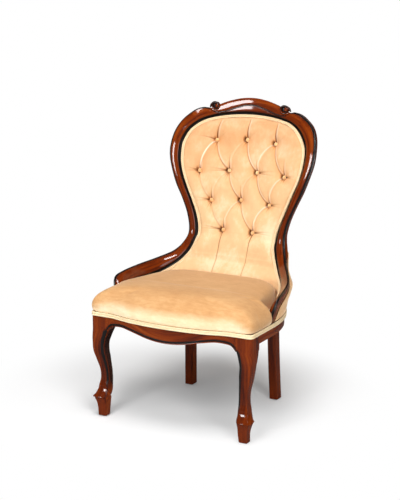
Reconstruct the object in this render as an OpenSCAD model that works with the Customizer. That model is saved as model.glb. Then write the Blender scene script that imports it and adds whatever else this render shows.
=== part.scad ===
// Balloon back chair with a buttoned back and a sprung seat, standing on its feet.
// It faces -Y, +Z is up, and left and right are as seen from the front.
// Heights are above the floor. Depths are behind the line of the front feet.

/* [Overall] */
// Height of the crest above the floor
chair_h = 950; // [900:5:1000]
// Width of the seat frame over the front legs
seat_w = 540; // [500:5:580]
// Depth from the front feet to the backs of the rear legs
seat_d = 400; // [380:5:420]
// Height of the top of the seat frame
rail_top_z = 330; // [315:5:345]
// Height of the waist, where the side sweeps turn up into the stiles
waist_z = 450; // [440:2:460]

/* [Show wood] */
// Thickness of the back frame from front to back
wood_t = 25; // [20:1:30]
// How far the face of the back frame swells
face_swell = 3; // [1:0.5:5]
// Depth of the dark cove along the inner edge of the back frame
cove_d = 9; // [4:1:12]
// Radius of the carved balls on the crest
scroll_r = 13; // [9:1:16]

/* [Legs] */
// Side of the square block at the head of a front leg
block_w = 50; // [46:1:54]
// Height of that block, from the top of the seat frame down
block_h = 50; // [45:1:55]
// Distance of the front feet's centres from the middle of the chair
foot_x = 244; // [235:1:250]
// How far a front leg sways from the straight
leg_sway = 15; // [8:1:20]
// Width of a rear leg, from side to side
rear_leg_w = 28; // [24:1:32]
// Depth of a rear leg, from front to back
rear_leg_d = 34; // [30:1:38]
// Distance of the rear legs' heads from the middle of the chair
rear_head_x = 150; // [146:1:154]
// How far a rear foot stands behind its head
rear_rake = 11; // [0:1:20]
// How far a rear foot stands out from its head
rear_splay = 6; // [0:1:12]
// Radius of a glide under a foot
glide_r = 9; // [7:0.5:11]
// Height of a glide
glide_h = 3; // [2:0.5:5]
// Length of a glide's nail
glide_nail_l = 14; // [10:1:18]

/* [Seat frame] */
// Height of the side and back rails
rail_h = 36; // [32:1:44]
// Thickness of the side and back rails
rail_t = 24; // [20:1:28]
// Thickness of the front rail
front_rail_t = 28; // [24:1:32]
// How far the front rail bows out in front of the legs
front_bow = 30; // [15:1:35]
// How far the front rail hangs below the arches beside the legs
apron_drop = 22; // [15:1:30]
// Radius of a dowel
dowel_r = 4; // [3:0.5:5]
// Length of a dowel
dowel_l = 36; // [28:2:44]
// Height of a corner block
corner_block_h = 26; // [20:1:30]
// Radius of a corner block's screw
screw_r = 2; // [1.5:0.25:2.5]
// Length of a corner block's screw under its head
screw_l = 28; // [24:1:32]

/* [Seat] */
// Height of the seat's crown
crown_z = 420; // [410:1:430]
// How far the seat's sides swell past its bottom edge
seat_swell = 8; // [2:1:12]
// Width of a strip of webbing
web_w = 50; // [40:2:56]
// Thickness of the webbing
web_t = 1.5; // [1:0.25:2]
// Thickness of the hessian and felt over the webbing
deck_t = 3; // [2:0.5:4]
// Height of the double piping round the seat
welt_h = 15; // [12:0.5:17]
// Thickness of the double piping
welt_t = 6; // [4:0.5:8]
// Thickness of the dust cover
dust_t = 1; // [0.5:0.25:1.5]

/* [Upholstered back] */
// Thickness of the padding in the middle of the back
pad_t = 20; // [16:1:22]
// Thickness of the padding at its edges
pad_edge_t = 4; // [3:0.5:6]
// How far the padding swells in front of the frame
pad_swell = 15; // [8:1:20]
// How deep the buttons draw the padding in
tuft_d = 13; // [8:1:16]
// Radius of a covered button
button_r = 7; // [6:0.5:9]
// Thickness of a covered button
button_t = 5; // [4:0.5:6]
// Radius of the piping round the back
pipe_r = 2.6; // [2:0.2:3.2]
// Thickness of the outside cover
cover_t = 2; // [1.5:0.25:3]
// Width of the tacking rail behind the seat
tack_rail_h = 26; // [20:1:30]
// Thickness of the tacking rail
tack_rail_t = 16; // [12:1:18]

/* [Hidden] */

// Gap between a soft piece and its neighbours
soft_gap = 0.3;
// Gap round a dowel, a screw or a nail in its hole
fit_gap = 0.1;
// How far a cutting shape runs past the face that it cuts
overrun = 1;
// Steps of a curve between two of its points
steps = 3;

show_wood = "#6b2a0e";
frame_wood = "#c9a66b";
cloth = "#f0cd98";
cream = "#f5e3c0";
jute = "#b08d57";
steel = "#b9b9b4";

half_w = seat_w / 2;
rail_low_z = rail_top_z - rail_h;
block_low_z = rail_top_z - block_h;
block_x = half_w - block_w / 2;
block_y = leg_sway * 2 / 3;
block_front_y = block_y - block_w / 2;
block_back_y = block_y + block_w / 2;
rail_in_x = half_w - block_w;
// How far the outer front corner of a leg's block is eased
block_ease = block_w / 8;

// Edges of the back frame on the right, from the foot of the side sweep up to the crest's
// middle: shares of the half width, of the seat's depth, and of the height, where -1 is the
// top of the seat frame, 0 the waist and 1 the top of the chair
sweep_outer_shares = [[0.992, 0.275, -1], [1.022, 0.288, -0.65], [1.046, 0.335, -0.4],
    [1.03, 0.455, -0.28], [0.972, 0.62, -0.175], [0.867, 0.76, -0.06],
    [0.756, 0.885, 0.016], [0.704, 0.945, 0.046], [0.685, 0.968, 0.064]];
sweep_inner_shares = [[0.926, 0.29, -1], [0.93, 0.31, -0.733], [0.941, 0.38, -0.583],
    [0.904, 0.5, -0.525], [0.837, 0.645, -0.467], [0.752, 0.78, -0.367],
    [0.648, 0.88, -0.167], [0.581, 0.94, 0.012], [0.552, 0.963, 0.046]];
stile_outer_shares = [[0.659, 0.998, 0.096], [0.641, 1.015, 0.13], [0.641, 1.023, 0.18],
    [0.678, 1.033, 0.26], [0.748, 1.038, 0.35], [0.83, 1.038, 0.44], [0.9, 1.05, 0.54],
    [0.943, 1.068, 0.62], [0.952, 1.095, 0.694], [0.93, 1.14, 0.776], [0.867, 1.185, 0.844],
    [0.763, 1.21, 0.894]];
stile_inner_shares = [[0.526, 0.99, 0.092], [0.515, 1.02, 0.128], [0.524, 1.038, 0.182],
    [0.561, 1.053, 0.252], [0.622, 1.059, 0.334], [0.691, 1.058, 0.422], [0.763, 1.068, 0.518],
    [0.8, 1.085, 0.602], [0.806, 1.115, 0.69], [0.778, 1.14, 0.744], [0.722, 1.163, 0.794],
    [0.637, 1.198, 0.832]];
crest_outer_shares = [[0.681, 1.223, 0.92], [0.596, 1.233, 0.93], [0.522, 1.25, 0.924],
    [0.459, 1.258, 0.93], [0.385, 1.268, 0.948], [0.274, 1.278, 0.97], [0.141, 1.29, 0.99],
    [0, 1.295, 1]];
crest_inner_shares = [[0.563, 1.22, 0.852], [0.504, 1.238, 0.862], [0.448, 1.245, 0.87],
    [0.393, 1.254, 0.876], [0.333, 1.26, 0.881], [0.244, 1.27, 0.887], [0.13, 1.276, 0.892],
    [0, 1.28, 0.894]];
// Where the back corners of a sweep lie behind its face's edges, in shares of the thickness
sweep_outer_back_shares = [[0, 1, 0], [-0.2, 1.36, -0.84], [-0.5, 1.45, -1.6], [-0.3, 0.9, -1.3],
    [-0.1, 0.4, -1.05], [0, 0.5, -0.95], [0, 0.68, -0.72], [0, 0.9, -0.4], [0, 1, -0.08]];
sweep_inner_back_shares = [[0, 1, 0], [0.1, 1, -0.4], [0.15, 0.8, -0.6], [0.3, 0.35, -0.45],
    [0.35, 0.3, -0.45], [0.35, 0.4, -0.45], [0.2, 0.65, -0.45], [0.1, 0.9, -0.3], [0, 1, -0.08]];
// How far the back edge of the shoulders and the crest is eased in from the face's edge
back_ease_share = 0.2;
// Across the face from its inner edge: share of the width, then of the swell
face_shares = [[0.25, 0], [0.5, 1], [0.8, 0.7]];

// The back's hollow, on its middle line: height share, then share of the seat's depth
back_line_shares = [[-1, 0.82], [-0.875, 0.833], [-0.583, 0.858], [-0.467, 0.872], [-0.333, 0.892],
    [-0.167, 0.935], [-0.083, 0.96], [0, 0.978], [0.02, 0.992], [0.06, 1.012], [0.08, 1.022],
    [0.14, 1.055], [0.2, 1.08], [0.26, 1.098], [0.32, 1.111], [0.38, 1.122], [0.44, 1.133],
    [0.5, 1.146], [0.56, 1.16], [0.62, 1.18], [0.68, 1.205], [0.74, 1.224], [0.8, 1.243],
    [0.86, 1.275], [1, 1.305]];
// How squarely the back turns forward into the sides at each height share
back_turn_shares = [[-1, 8], [-0.467, 8], [-0.333, 5.5], [-0.167, 3], [0, 2.2], [0.03, 2], [1, 2]];
cover_turn_shares = [[-1, 6], [-0.45, 6], [-0.1, 8], [0.04, 8], [0.07, 5], [0.12, 3], [0.17, 2], [1, 2]];
// Outside of the seat frame on the right, from the middle of the back to the side's straight
// stretch: shares of the half width and of the seat's depth
plan_shares = [[0, 1.025], [0.15, 1.024], [0.3, 1.02], [0.42, 1.016], [0.5, 1.012], [0.58, 1.005],
    [0.625, 0.99], [0.66, 0.96], [0.7, 0.917], [0.745, 0.86], [0.79, 0.805], [0.844, 0.745],
    [0.9, 0.665], [0.94, 0.595], [0.975, 0.5], [0.995, 0.4], [1, 0.325]];
// Buttons on the right half and the middle: shares of the half width and of the height
side_button_shares = [[0.389, 0.724], [0.559, 0.528], [0.185, 0.537], [0.385, 0.342], [0.195, 0.16]];
middle_button_shares = [[0, 0.736], [0, 0.356]];

// Front leg from the foot up: share of the height under the block, sway outward, sway
// backward, and width as a share of the block's
front_leg_shares = [[0, 0, 0, 0.54], [0.09, -0.07, -0.07, 0.59], [0.15, 0, -0.05, 0.66],
    [0.2, 0.12, -0.13, 0.77], [0.225, 0.3, -0.3, 0.84], [0.25, 0, 0, 0.78], [0.304, -0.15, 0.4, 0.69],
    [0.357, -0.23, 0.52, 0.64], [0.41, -0.33, 0.68, 0.58], [0.464, -0.35, 0.68, 0.556],
    [0.518, -0.3, 0.63, 0.562], [0.571, -0.17, 0.51, 0.59], [0.625, 0.03, 0.38, 0.644],
    [0.679, 0.22, 0.25, 0.7], [0.732, 0.4, 0.07, 0.742], [0.786, 0.57, 0, 0.77],
    [0.839, 0.65, -0.03, 0.796], [0.893, 0.64, 0, 0.85], [0.946, 0.5, 0.2, 0.93]];
// Front rail from its middle: share of its half length, then of the bow and of the drop
bow_shares = [[0, 1], [0.12, 0.985], [0.23, 0.94], [0.33, 0.885], [0.43, 0.8], [0.54, 0.69],
    [0.64, 0.53], [0.73, 0.34], [0.81, 0.18], [0.9, 0.05], [1, 0]];
drop_shares = [[0, 1], [0.14, 0.93], [0.27, 0.77], [0.36, 0.61], [0.445, 0.43], [0.52, 0.27],
    [0.59, 0.15], [0.66, 0.05], [0.73, 0], [0.83, 0.07], [0.92, 0.23], [0.96, 0.5], [1, 1]];
// Seat cushion from its bottom up: share of its plan, then of its height
seat_shares = [[1, 0], [1.02, 0.05], [1.03, 0.2], [1.02, 0.38], [0.99, 0.54], [0.95, 0.66],
    [0.89, 0.775], [0.8, 0.87], [0.66, 0.94], [0.45, 0.985], [0.22, 1]];

// Smooth curve through points or numbers
function spline_value(a, b, c, d, t) =
    (2 * b + (c - a) * t + (2 * a - 5 * b + 4 * c - d) * t * t
        + (3 * b - a - 3 * c + d) * t * t * t) / 2;
function spline(p, n) = let (last = len(p) - 1) concat(
    [for (i = [0 : last - 1], k = [0 : n - 1])
        spline_value(p[max(i - 1, 0)], p[i], p[i + 1], p[min(i + 2, last)], k / n)],
    [p[last]]);
function unit(v) = v / norm(v);
function mean(list, i = 0) = list[i] / len(list) + (i < len(list) - 1 ? mean(list, i + 1) : 0 * list[0]);
function reversed(list) = [for (i = [len(list) - 1 : -1 : 0]) list[i]];
function flip(p) = [-p[0], p[1], p[2]];
function height(s) = waist_z + s * (s < 0 ? waist_z - rail_top_z : chair_h - waist_z);
function share_of(z) = (z - waist_z) / (z < waist_z ? waist_z - rail_top_z : chair_h - waist_z);
function place(row) = [row[0] * half_w, row[1] * seat_d, height(row[2])];

// Solid skin over rings of points, ring after ring, closed at both ends
module loft(rings) {
    n = len(rings[0]);
    m = len(rings);
    points = concat([for (r = rings, p = r) p], [mean(rings[0]), mean(rings[m - 1])]);
    sides = [for (k = [0 : m - 2], i = [0 : n - 1], half = [0, 1])
        let (a = k * n + i, b = k * n + (i + 1) % n)
        half == 0 ? [a, a + n, b + n] : [a, b + n, b]];
    caps = [for (i = [0 : n - 1], end = [0, 1])
        let (j = (i + 1) % n, base = (m - 1) * n)
        end == 0 ? [m * n, i, j] : [m * n + 1, base + j, base + i]];
    polyhedron(points = points, faces = concat(sides, caps));
}

// Solid between a front and a back grid of points with the same rows and columns
module slab(front, back) {
    rows = len(front);
    cols = len(front[0]);
    count = rows * cols;
    points = concat([for (r = front, p = r) p], [for (r = back, p = r) p]);
    skins = [for (j = [0 : rows - 2], i = [0 : cols - 2], half = [0 : 3])
        let (a = j * cols + i, b = a + 1, c = a + cols, d = c + 1,
            quad = (i + j) % 2 == 0 ? [a, c, d, b] : [c, d, b, a],
            tri = half % 2 == 0 ? [quad[0], quad[1], quad[2]] : [quad[0], quad[2], quad[3]])
        half < 2 ? tri : [for (p = reversed(tri)) count + p]];
    rim = concat([for (i = [0 : cols - 1]) i], [for (j = [1 : rows - 1]) (j + 1) * cols - 1],
        [for (i = [cols - 2 : -1 : 0]) (rows - 1) * cols + i], [for (j = [rows - 2 : -1 : 1]) j * cols]);
    edges = [for (k = [0 : len(rim) - 1], half = [0, 1])
        let (a = rim[k], b = rim[(k + 1) % len(rim)])
        half == 0 ? [a, b, count + b] : [a, count + b, count + a]];
    polyhedron(points = points, faces = concat(skins, edges));
}

// Draws its children on the right, or mirrored on the left
module on_side(side) {
    if (side < 0)
        mirror([1, 0, 0]) children();
    else
        children();
}

// Turns a child that stands along Z to point along a direction, and carries it to a point
module aim(point, direction) {
    d = unit(direction);
    translate(point) rotate([0, acos(d[2]), atan2(d[1], d[0])]) children();
}

// Edge curves of the back frame on the right
outer = spline([for (r = concat(sweep_outer_shares, stile_outer_shares, crest_outer_shares)) place(r)],
    steps);
inner = spline([for (r = concat(sweep_inner_shares, stile_inner_shares, crest_inner_shares)) place(r)],
    steps);
sweep_end = (len(sweep_outer_shares) - 1) * steps;
stile_end = sweep_end + len(stile_outer_shares) * steps;
frame_end = len(outer) - 1;
shoulder = stile_end - steps;
sweep_outer_back = spline(sweep_outer_back_shares * wood_t, steps);
sweep_inner_back = spline(sweep_inner_back_shares * wood_t, steps);
function outer_back(i) = outer[i] + (i < sweep_end ? sweep_outer_back[i] : [0, wood_t, 0]
    - unit(outer[i] - inner[i]) * back_ease_share * wood_t
        * max(0, min(1, 1 + (i - shoulder) / shoulder * 4)));
function inner_back(i) = inner[i] + (i < sweep_end ? sweep_inner_back[i] : [0, wood_t, 0]);
function frame_mid(i) = (outer[i] + inner[i]) / 2;
function frame_run(i) = i == frame_end ? [-1, 0, 0]
    : unit(frame_mid(min(i + 1, frame_end)) - frame_mid(max(i - 1, 0)));
function frame_face(i) = unit(cross(outer[i] - inner[i], frame_run(i)));
function frame_ring(i) = let (across = outer[i] - inner[i], face = frame_face(i))
    [for (p = concat([inner[i] - face * cove_d],
        [for (f = face_shares) inner[i] + across * f[0] + face * face_swell * f[1]],
        [outer[i], outer_back(i), inner_back(i)])) [p[0], p[1], max(p[2], rail_top_z)]];

module frame_member(first, last) {
    loft([for (i = [first : last]) frame_ring(i)]);
}

// Dowels across the two joints of the back frame on the right
module frame_dowels(r) {
    for (i = [sweep_end, stile_end])
        aim(frame_mid(i) + (outer_back(i) - outer[i]) / 2, frame_run(i))
            cylinder(r = r, h = dowel_l, center = true, $fn = 24);
}

module crest_rail() {
    ball = outer[frame_end - 4 * steps];
    color(show_wood) in_place() {
        difference() {
            loft(concat([for (i = [stile_end : frame_end]) frame_ring(i)],
                [for (i = [frame_end - 1 : -1 : stile_end]) [for (p = frame_ring(i)) flip(p)]]));
            for (side = [-1, 1]) on_side(side) frame_dowels(dowel_r + fit_gap);
        }
        for (side = [-1, 1]) on_side(side)
            translate(ball + [0, scroll_r / 2, 0]) {
                sphere(r = scroll_r, $fn = 32);
                rotate([-90, 0, 0]) cylinder(r = scroll_r, h = wood_t / 2, $fn = 32);
            }
    }
}

module back_stile(side) {
    color(show_wood) in_place() on_side(side) difference() {
        frame_member(sweep_end, stile_end);
        frame_dowels(dowel_r + fit_gap);
    }
}

module side_sweep(side) {
    color(show_wood) in_place() on_side(side) difference() {
        frame_member(0, sweep_end);
        frame_dowels(dowel_r + fit_gap);
    }
}

module back_frame_dowels() {
    color(frame_wood) in_place() for (side = [-1, 1]) on_side(side) frame_dowels(dowel_r);
}

// Ring of a front leg's square section, with a sharp ridge on its outer front corner
function leg_ring(x, y, z, w) = let (h = w / 2, c = w / 8)
    [[x - h, y - h + c, z], [x - h + c, y - h, z], [x + h, y - h, z], [x + h, y + h - c, z],
        [x + h - c, y + h, z], [x - h + c, y + h, z], [x - h, y + h - c, z]];

module front_leg(side) {
    rings = [for (r = front_leg_shares)
        leg_ring(foot_x + r[1] * leg_sway, r[2] * leg_sway,
            glide_h + r[0] * (block_low_z - glide_h), r[3] * block_w)];
    color(show_wood) in_place() on_side(side) difference() {
        union() {
            loft(concat(rings, [leg_ring(block_x, block_y, block_low_z, block_w),
                leg_ring(block_x, block_y, block_low_z + block_w / 8, block_w)]));
            translate([0, 0, block_low_z]) linear_extrude(height = block_h)
                polygon([[rail_in_x, block_front_y], [half_w - block_ease, block_front_y],
                    [half_w, block_front_y + block_ease], [half_w, block_back_y],
                    [rail_in_x, block_back_y]]);
        }
        seat_dowels(dowel_r + fit_gap);
        translate([foot_x, 0, 0]) glide_nail(fit_gap);
    }
}

// Ring of a rear leg's section with its corners taken off
function post_ring(x, y, z, w, d) = let (h = w / 2, k = d / 2, c = w / 10)
    [[x - h, y - k + c, z], [x - h + c, y - k, z], [x + h - c, y - k, z], [x + h, y - k + c, z],
        [x + h, y + k - c, z], [x + h - c, y + k, z], [x - h + c, y + k, z], [x - h, y + k - c, z]];
rear_head_y = seat_d - rear_leg_d / 2;
rear_foot = [rear_head_x + rear_splay, rear_head_y + rear_rake, 0];
// The hidden post over the seat frame, which tapers and leans back to the waist
post_foot = [rear_head_x - rear_leg_w * 0.1, rear_head_y - rear_leg_d * 0.1, rail_top_z];
post_top = [frame_mid(sweep_end)[0] - rear_leg_w * 0.4, outer_back(sweep_end)[1] - rear_leg_d / 4,
    inner_back(sweep_end)[2] - wood_t / 3];
post_w = rear_leg_w * 0.8;
post_foot_d = rear_leg_d * 0.75;
post_top_d = rear_leg_d * 0.5;
function post_mid(s) = post_foot * (1 - s) + post_top * s;

module rear_leg_body() {
    foot = [for (s = [0, 0.15, 0.3, 0.45, 0.6, 0.75, 0.9])
        let (out = pow(1 - s, 1.6))
        post_ring(rear_head_x + rear_splay * out, rear_head_y + rear_rake * out,
            glide_h + s * (rail_low_z - glide_h), rear_leg_w, rear_leg_d)];
    seat = [for (z = [rail_low_z, rail_top_z])
        post_ring(rear_head_x, rear_head_y, z, rear_leg_w, rear_leg_d)];
    post = [for (s = [0, 1]) let (p = post_mid(s))
        post_ring(p[0], p[1], p[2], post_w, post_foot_d + (post_top_d - post_foot_d) * s)];
    loft(concat(foot, seat, post));
}

module rear_leg(side) {
    color(show_wood) in_place() on_side(side) difference() {
        rear_leg_body();
        frame_member(0, sweep_end);
        seat_dowels(dowel_r + fit_gap);
        translate(rear_foot) glide_nail(fit_gap);
    }
}

// Plan of the seat frame on the right, moved in by an inset along its normals
frame_back_y = plan_shares[0][1] * seat_d;
frame_turn_y = plan_shares[len(plan_shares) - 1][1] * seat_d;
plan_points = spline([for (r = plan_shares) [r[0] * half_w, r[1] * seat_d]], 2);
plan_last = len(plan_points) - 1;
function plan_line(inset) = [for (i = [0 : plan_last])
    let (run = i == 0 ? [1, 0] : i == plan_last ? [0, -1]
        : unit(plan_points[i + 1] - plan_points[i - 1]))
    plan_points[i] + [run[1], -run[0]] * inset];
outer_line = plan_line(0);
inner_line = plan_line(rail_t);
function plan_y(x, line) = lookup(abs(x), line);
function plan_x(y, line) = lookup(-y, [for (p = line) [-p[1], p[0]]]);
// The stretch of a plan line that lies farther out than a distance from the middle
function plan_curve(line, from_x) = concat([for (i = [plan_last : -1 : 0]) if (line[i][0] > from_x) line[i]],
    [[from_x, plan_y(from_x, line)]]);
function bow_y(x) = block_front_y - front_bow * lookup(abs(x) / rail_in_x, bow_shares);
post_out_x = rear_head_x + rear_leg_w / 2;
post_in_x = rear_head_x - rear_leg_w / 2;
// Points across the whole width, from left to right, of a curve given for the right
function across(list) = concat([for (p = reversed(list)) [-p[0], p[1]]], [for (p = list) if (p[0] > 0) p]);

module front_seat_rail() {
    bow = across([for (r = bow_shares) [r[0] * rail_in_x, bow_y(r[0] * rail_in_x)]]);
    arch_z = rail_top_z - front_rail_t * 1.1;
    drop = across([for (r = drop_shares) [r[0] * rail_in_x, arch_z - r[1] * apron_drop]]);
    color(show_wood) in_place() difference() {
        intersection() {
            translate([0, 0, block_low_z - apron_drop])
                linear_extrude(height = rail_top_z - block_low_z + apron_drop)
                    polygon(concat(bow, [for (p = reversed(bow)) p + [0, front_rail_t]]));
            translate([0, front_rail_t * 2, 0]) rotate([90, 0, 0])
                linear_extrude(height = front_rail_t * 3 + front_bow * 2)
                    polygon(concat(drop, [[rail_in_x, rail_top_z], [-rail_in_x, rail_top_z]]));
        }
        for (side = [-1, 1]) on_side(side) {
            seat_dowels(dowel_r + fit_gap);
            block_screws(fit_gap);
        }
    }
}

module side_seat_rail(side) {
    color(show_wood) in_place() on_side(side) difference() {
        translate([0, 0, rail_low_z]) linear_extrude(height = rail_h)
            polygon(concat([[half_w, block_back_y]], plan_curve(outer_line, post_out_x),
                reversed(plan_curve(inner_line, post_out_x)), [[half_w - rail_t, block_back_y]]));
        seat_dowels(dowel_r + fit_gap);
        block_screws(fit_gap);
    }
}

module back_seat_rail() {
    outside = across([for (k = [0 : 6]) let (x = k / 6 * post_in_x) [x, plan_y(x, outer_line)]]);
    color(frame_wood) in_place() difference() {
        translate([0, 0, rail_low_z]) linear_extrude(height = rail_h)
            polygon(concat(outside, [for (p = reversed(outside)) p - [0, rail_t]]));
        for (side = [-1, 1]) on_side(side) {
            seat_dowels(dowel_r + fit_gap);
            block_screws(fit_gap);
        }
    }
}

// Dowels of the seat frame's joints on the right, two to a joint
module seat_dowels(r) {
    heights = [rail_low_z + rail_h * 0.3, rail_low_z + rail_h * 0.7];
    for (z = heights) {
        translate([rail_in_x, block_front_y + front_rail_t / 2, z]) rotate([0, 90, 0])
            cylinder(r = r, h = dowel_l, center = true, $fn = 24);
        translate([half_w - rail_t / 2, block_back_y, z]) rotate([90, 0, 0])
            cylinder(r = r, h = dowel_l, center = true, $fn = 24);
        translate([post_out_x, rear_head_y - rear_leg_d * 0.25, z]) rotate([0, 90, 0])
            cylinder(r = r, h = rear_leg_w * 0.8, center = true, $fn = 24);
        translate([post_in_x, frame_back_y - rail_t * 0.75, z]) rotate([0, 90, 0])
            cylinder(r = r, h = rear_leg_w * 0.8, center = true, $fn = 24);
    }
}

module seat_frame_dowels() {
    color(frame_wood) in_place() for (side = [-1, 1]) on_side(side) seat_dowels(dowel_r);
}

// Corner blocks, and each block's two screws: where a head sits, and which way it drives
block_z = rail_low_z + (rail_h - corner_block_h) / 2;
block_leg = block_w * 1.1;
inner_x = half_w - rail_t;
inner_back_y = plan_y(0, inner_line);
screw_z = block_z + corner_block_h / 2;
screw_head_r = screw_r * 2;
front_screws = [[[rail_in_x - block_leg * 0.45, block_back_y - block_w * 0.2, screw_z], [0, -1, 0]],
    [[inner_x - block_w * 0.2, block_back_y + block_leg * 0.5, screw_z], [1, 0, 0]]];
// Where on the side rail's inside a rear block's side screw enters, and the way that it drives
side_screw_x = post_out_x + block_w * 0.32;
side_step = block_w / 8;
side_way = unit([plan_y(side_screw_x - side_step, inner_line) - plan_y(side_screw_x + side_step, inner_line),
    side_step * 2]);
side_head = [side_screw_x, plan_y(side_screw_x, inner_line)] - side_way * block_w * 0.25;
rear_screws = [[[post_in_x - block_leg * 0.4, inner_back_y - block_w * 0.25, screw_z], [0, 1, 0]],
    [[side_head[0], side_head[1], screw_z], [side_way[0], side_way[1], 0]]];

module block_screws(gap) {
    for (s = concat(front_screws, rear_screws)) aim(s[0], s[1]) {
        cylinder(r = screw_r + gap, h = screw_l + gap, $fn = 24);
        translate([0, 0, -block_w]) cylinder(r = screw_head_r + gap, h = block_w, $fn = 24);
    }
}

module front_corner_block(side) {
    near_x = rail_in_x - block_leg;
    face = concat([[near_x, bow_y(near_x) + front_rail_t + fit_gap]], [for (r = bow_shares)
        if (r[0] * rail_in_x > near_x) [r[0] * rail_in_x, bow_y(r[0] * rail_in_x) + front_rail_t + fit_gap]]);
    color(frame_wood) in_place() on_side(side) difference() {
        translate([0, 0, block_z]) linear_extrude(height = corner_block_h)
            polygon(concat(face, [[rail_in_x, block_back_y], [inner_x, block_back_y],
                [inner_x, block_back_y + block_leg], [inner_x - block_w / 4, block_back_y + block_leg],
                [near_x, block_y + block_w / 4]]));
        block_screws(fit_gap);
    }
}

module rear_corner_block(side) {
    side_line = [for (p = plan_curve(inner_line, post_out_x)) if (p[0] < post_out_x + block_w * 0.85)
        [max(p[0] - fit_gap, post_out_x), p[1]]];
    last = side_line[0];
    color(frame_wood) in_place() on_side(side) difference() {
        translate([0, 0, block_z]) linear_extrude(height = corner_block_h)
            polygon(concat([[post_in_x - block_leg, plan_y(post_in_x - block_leg, inner_line)],
                [post_in_x - block_leg, inner_back_y - block_w / 4],
                [last[0] - block_w / 4, last[1]]], side_line,
                [[post_out_x, rear_head_y - rear_leg_d / 2], [post_in_x, rear_head_y - rear_leg_d / 2],
                [post_in_x, plan_y(post_in_x, inner_line)]]));
        seat_dowels(dowel_r + fit_gap);
        block_screws(fit_gap);
    }
}

module corner_block_screws() {
    color(steel) in_place() for (side = [-1, 1]) on_side(side)
        for (s = concat(front_screws, rear_screws)) aim(s[0], s[1]) {
            cylinder(r = screw_r, h = screw_l, $fn = 24);
            translate([0, 0, -screw_r]) cylinder(r = screw_head_r, h = screw_r, $fn = 24);
        }
}

module back_tacking_rail() {
    z = height(-0.48);
    post = post_mid((z + tack_rail_h / 2 - rail_top_z) / (post_top[2] - rail_top_z));
    color(frame_wood) in_place() difference() {
        translate([-post[0], post[1] - tack_rail_t / 2, z]) cube([post[0] * 2, tack_rail_t, tack_rail_h]);
        for (side = [-1, 1]) on_side(side) rear_leg_body();
    }
}

// Seat: strips of webbing on the frame, a deck of hessian and felt, then the cushion
deck_z = rail_top_z + web_t * 2;
cushion_z = deck_z + deck_t + soft_gap;
web_hold = rail_t * 0.6;
long_web_shares = [-0.667, -0.333, 0, 0.333, 0.667];
cross_web_shares = [0.16, 0.44, 0.6, 0.76];

module seat_webbing() {
    color(jute) in_place() translate([0, 0, rail_top_z]) {
        for (s = long_web_shares) {
            x = s * half_w;
            far_x = abs(x) + web_w / 2;
            front = bow_y(far_x) + front_rail_t - web_hold;
            back = min(plan_y(far_x, inner_line), inner_back_y) + web_hold;
            translate([x - web_w / 2, front, 0]) cube([web_w, back - front, web_t]);
        }
        for (s = cross_web_shares) {
            y = s * seat_d;
            reach = plan_x(y + web_w / 2, inner_line) + web_hold;
            translate([-reach, y - web_w / 2, web_t]) cube([reach * 2, web_w, web_t]);
        }
    }
}

sweep_in_x = inner[0][0];
module seat_deck() {
    deck_steps = 12;
    hold = rail_t / 3;
    front = across([for (r = bow_shares) let (x = r[0] * (sweep_in_x - overrun))
        [x, bow_y(min(x, rail_in_x)) + hold]]);
    back = rear_head_y - rear_leg_d / 2 - overrun;
    side = [for (k = [0 : deck_steps]) let (s = 1 - pow(k / deck_steps, 2))
        [(sweep_in_x - overrun) * s, back - (back - frame_turn_y) * pow(s, 6.5)]];
    color(jute) in_place() translate([0, 0, deck_z]) linear_extrude(height = deck_t)
        polygon(concat(front, side, [for (p = reversed(side)) if (p[0] > 0) [-p[0], p[1]]]));
}

// Room for the piping between the wood and the padding
pipe_room = (pipe_r + soft_gap) * 2.15;
// The hollow of the back at a place across and a height: how far back the padding's line lies
// Edge of the padding, beside the piping in the back and below it in the tub
function pad_edge(i) = let (sink = 1.2 * max(0, 1 - i / sweep_end), across = unit(outer[i] - inner[i]))
    inner[i] - unit(across + [0, 0, sink]) * pipe_room * (1 + sink / 6) - frame_face(i) * cove_d / 2;
lower_edge = [for (i = [0 : shoulder]) pad_edge(i)];
edge_x_table = [for (p = lower_edge) [p[2], p[0]]];
edge_y_table = [for (p = lower_edge) [p[2], p[1]]];
shoulder_z = pad_edge(shoulder)[2];
function back_mid_y(z) = lookup(share_of(z), back_line_shares) * seat_d;
function hollow_y(x, z) = let (level = min(z, shoulder_z), edge_x = lookup(level, edge_x_table),
        drop = back_mid_y(level) - lookup(level, edge_y_table))
    back_mid_y(z) - drop * pow(abs(x) / edge_x, lookup(share_of(z), back_turn_shares));
// Straight back from the padding's line at a place, outward at the sides
nudge = half_w / 500;
function hollow_normal(x, z) = unit([
    (hollow_y(x - nudge, z) - hollow_y(x + nudge, z)) / (2 * nudge), 1,
    (hollow_y(x, z - nudge) - hollow_y(x, z + nudge)) / (2 * nudge)]);
buttons = concat([for (b = side_button_shares, side = [-1, 1]) [side * b[0] * half_w, height(b[1])]],
    [for (b = middle_button_shares) [b[0] * half_w, height(b[1])]]);
pleat_reach = half_w * 0.48;
// A pleat joins each button to those nearest above and below it on the diagonal
pleats = concat([for (a = buttons, b = buttons)
    if (b[1] - a[1] > button_r * 2 && norm(b - a) < pleat_reach) [a, b]],
    [for (b = buttons) if (b[1] > height(0.7)) [b, [b[0] * 0.9, chair_h]]],
    [for (b = buttons) if (b[1] < height(0.2)) [b, [b[0], rail_top_z]]]);
function off_line(p, a, b) = let (s = max(0, min(1, (p - a) * (b - a) / ((b - a) * (b - a)))))
    norm(p - a - (b - a) * s);
function tuft(x, z) = let (p = [x, z],
        dip = max([for (b = buttons) exp(-pow(norm(p - b) / (button_r * 3), 2))]),
        fold = max([for (f = pleats) exp(-pow(off_line(p, f[0], f[1]) / (button_r * 2.2), 2))]))
    tuft_d * max(dip, fold * 0.5);
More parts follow.
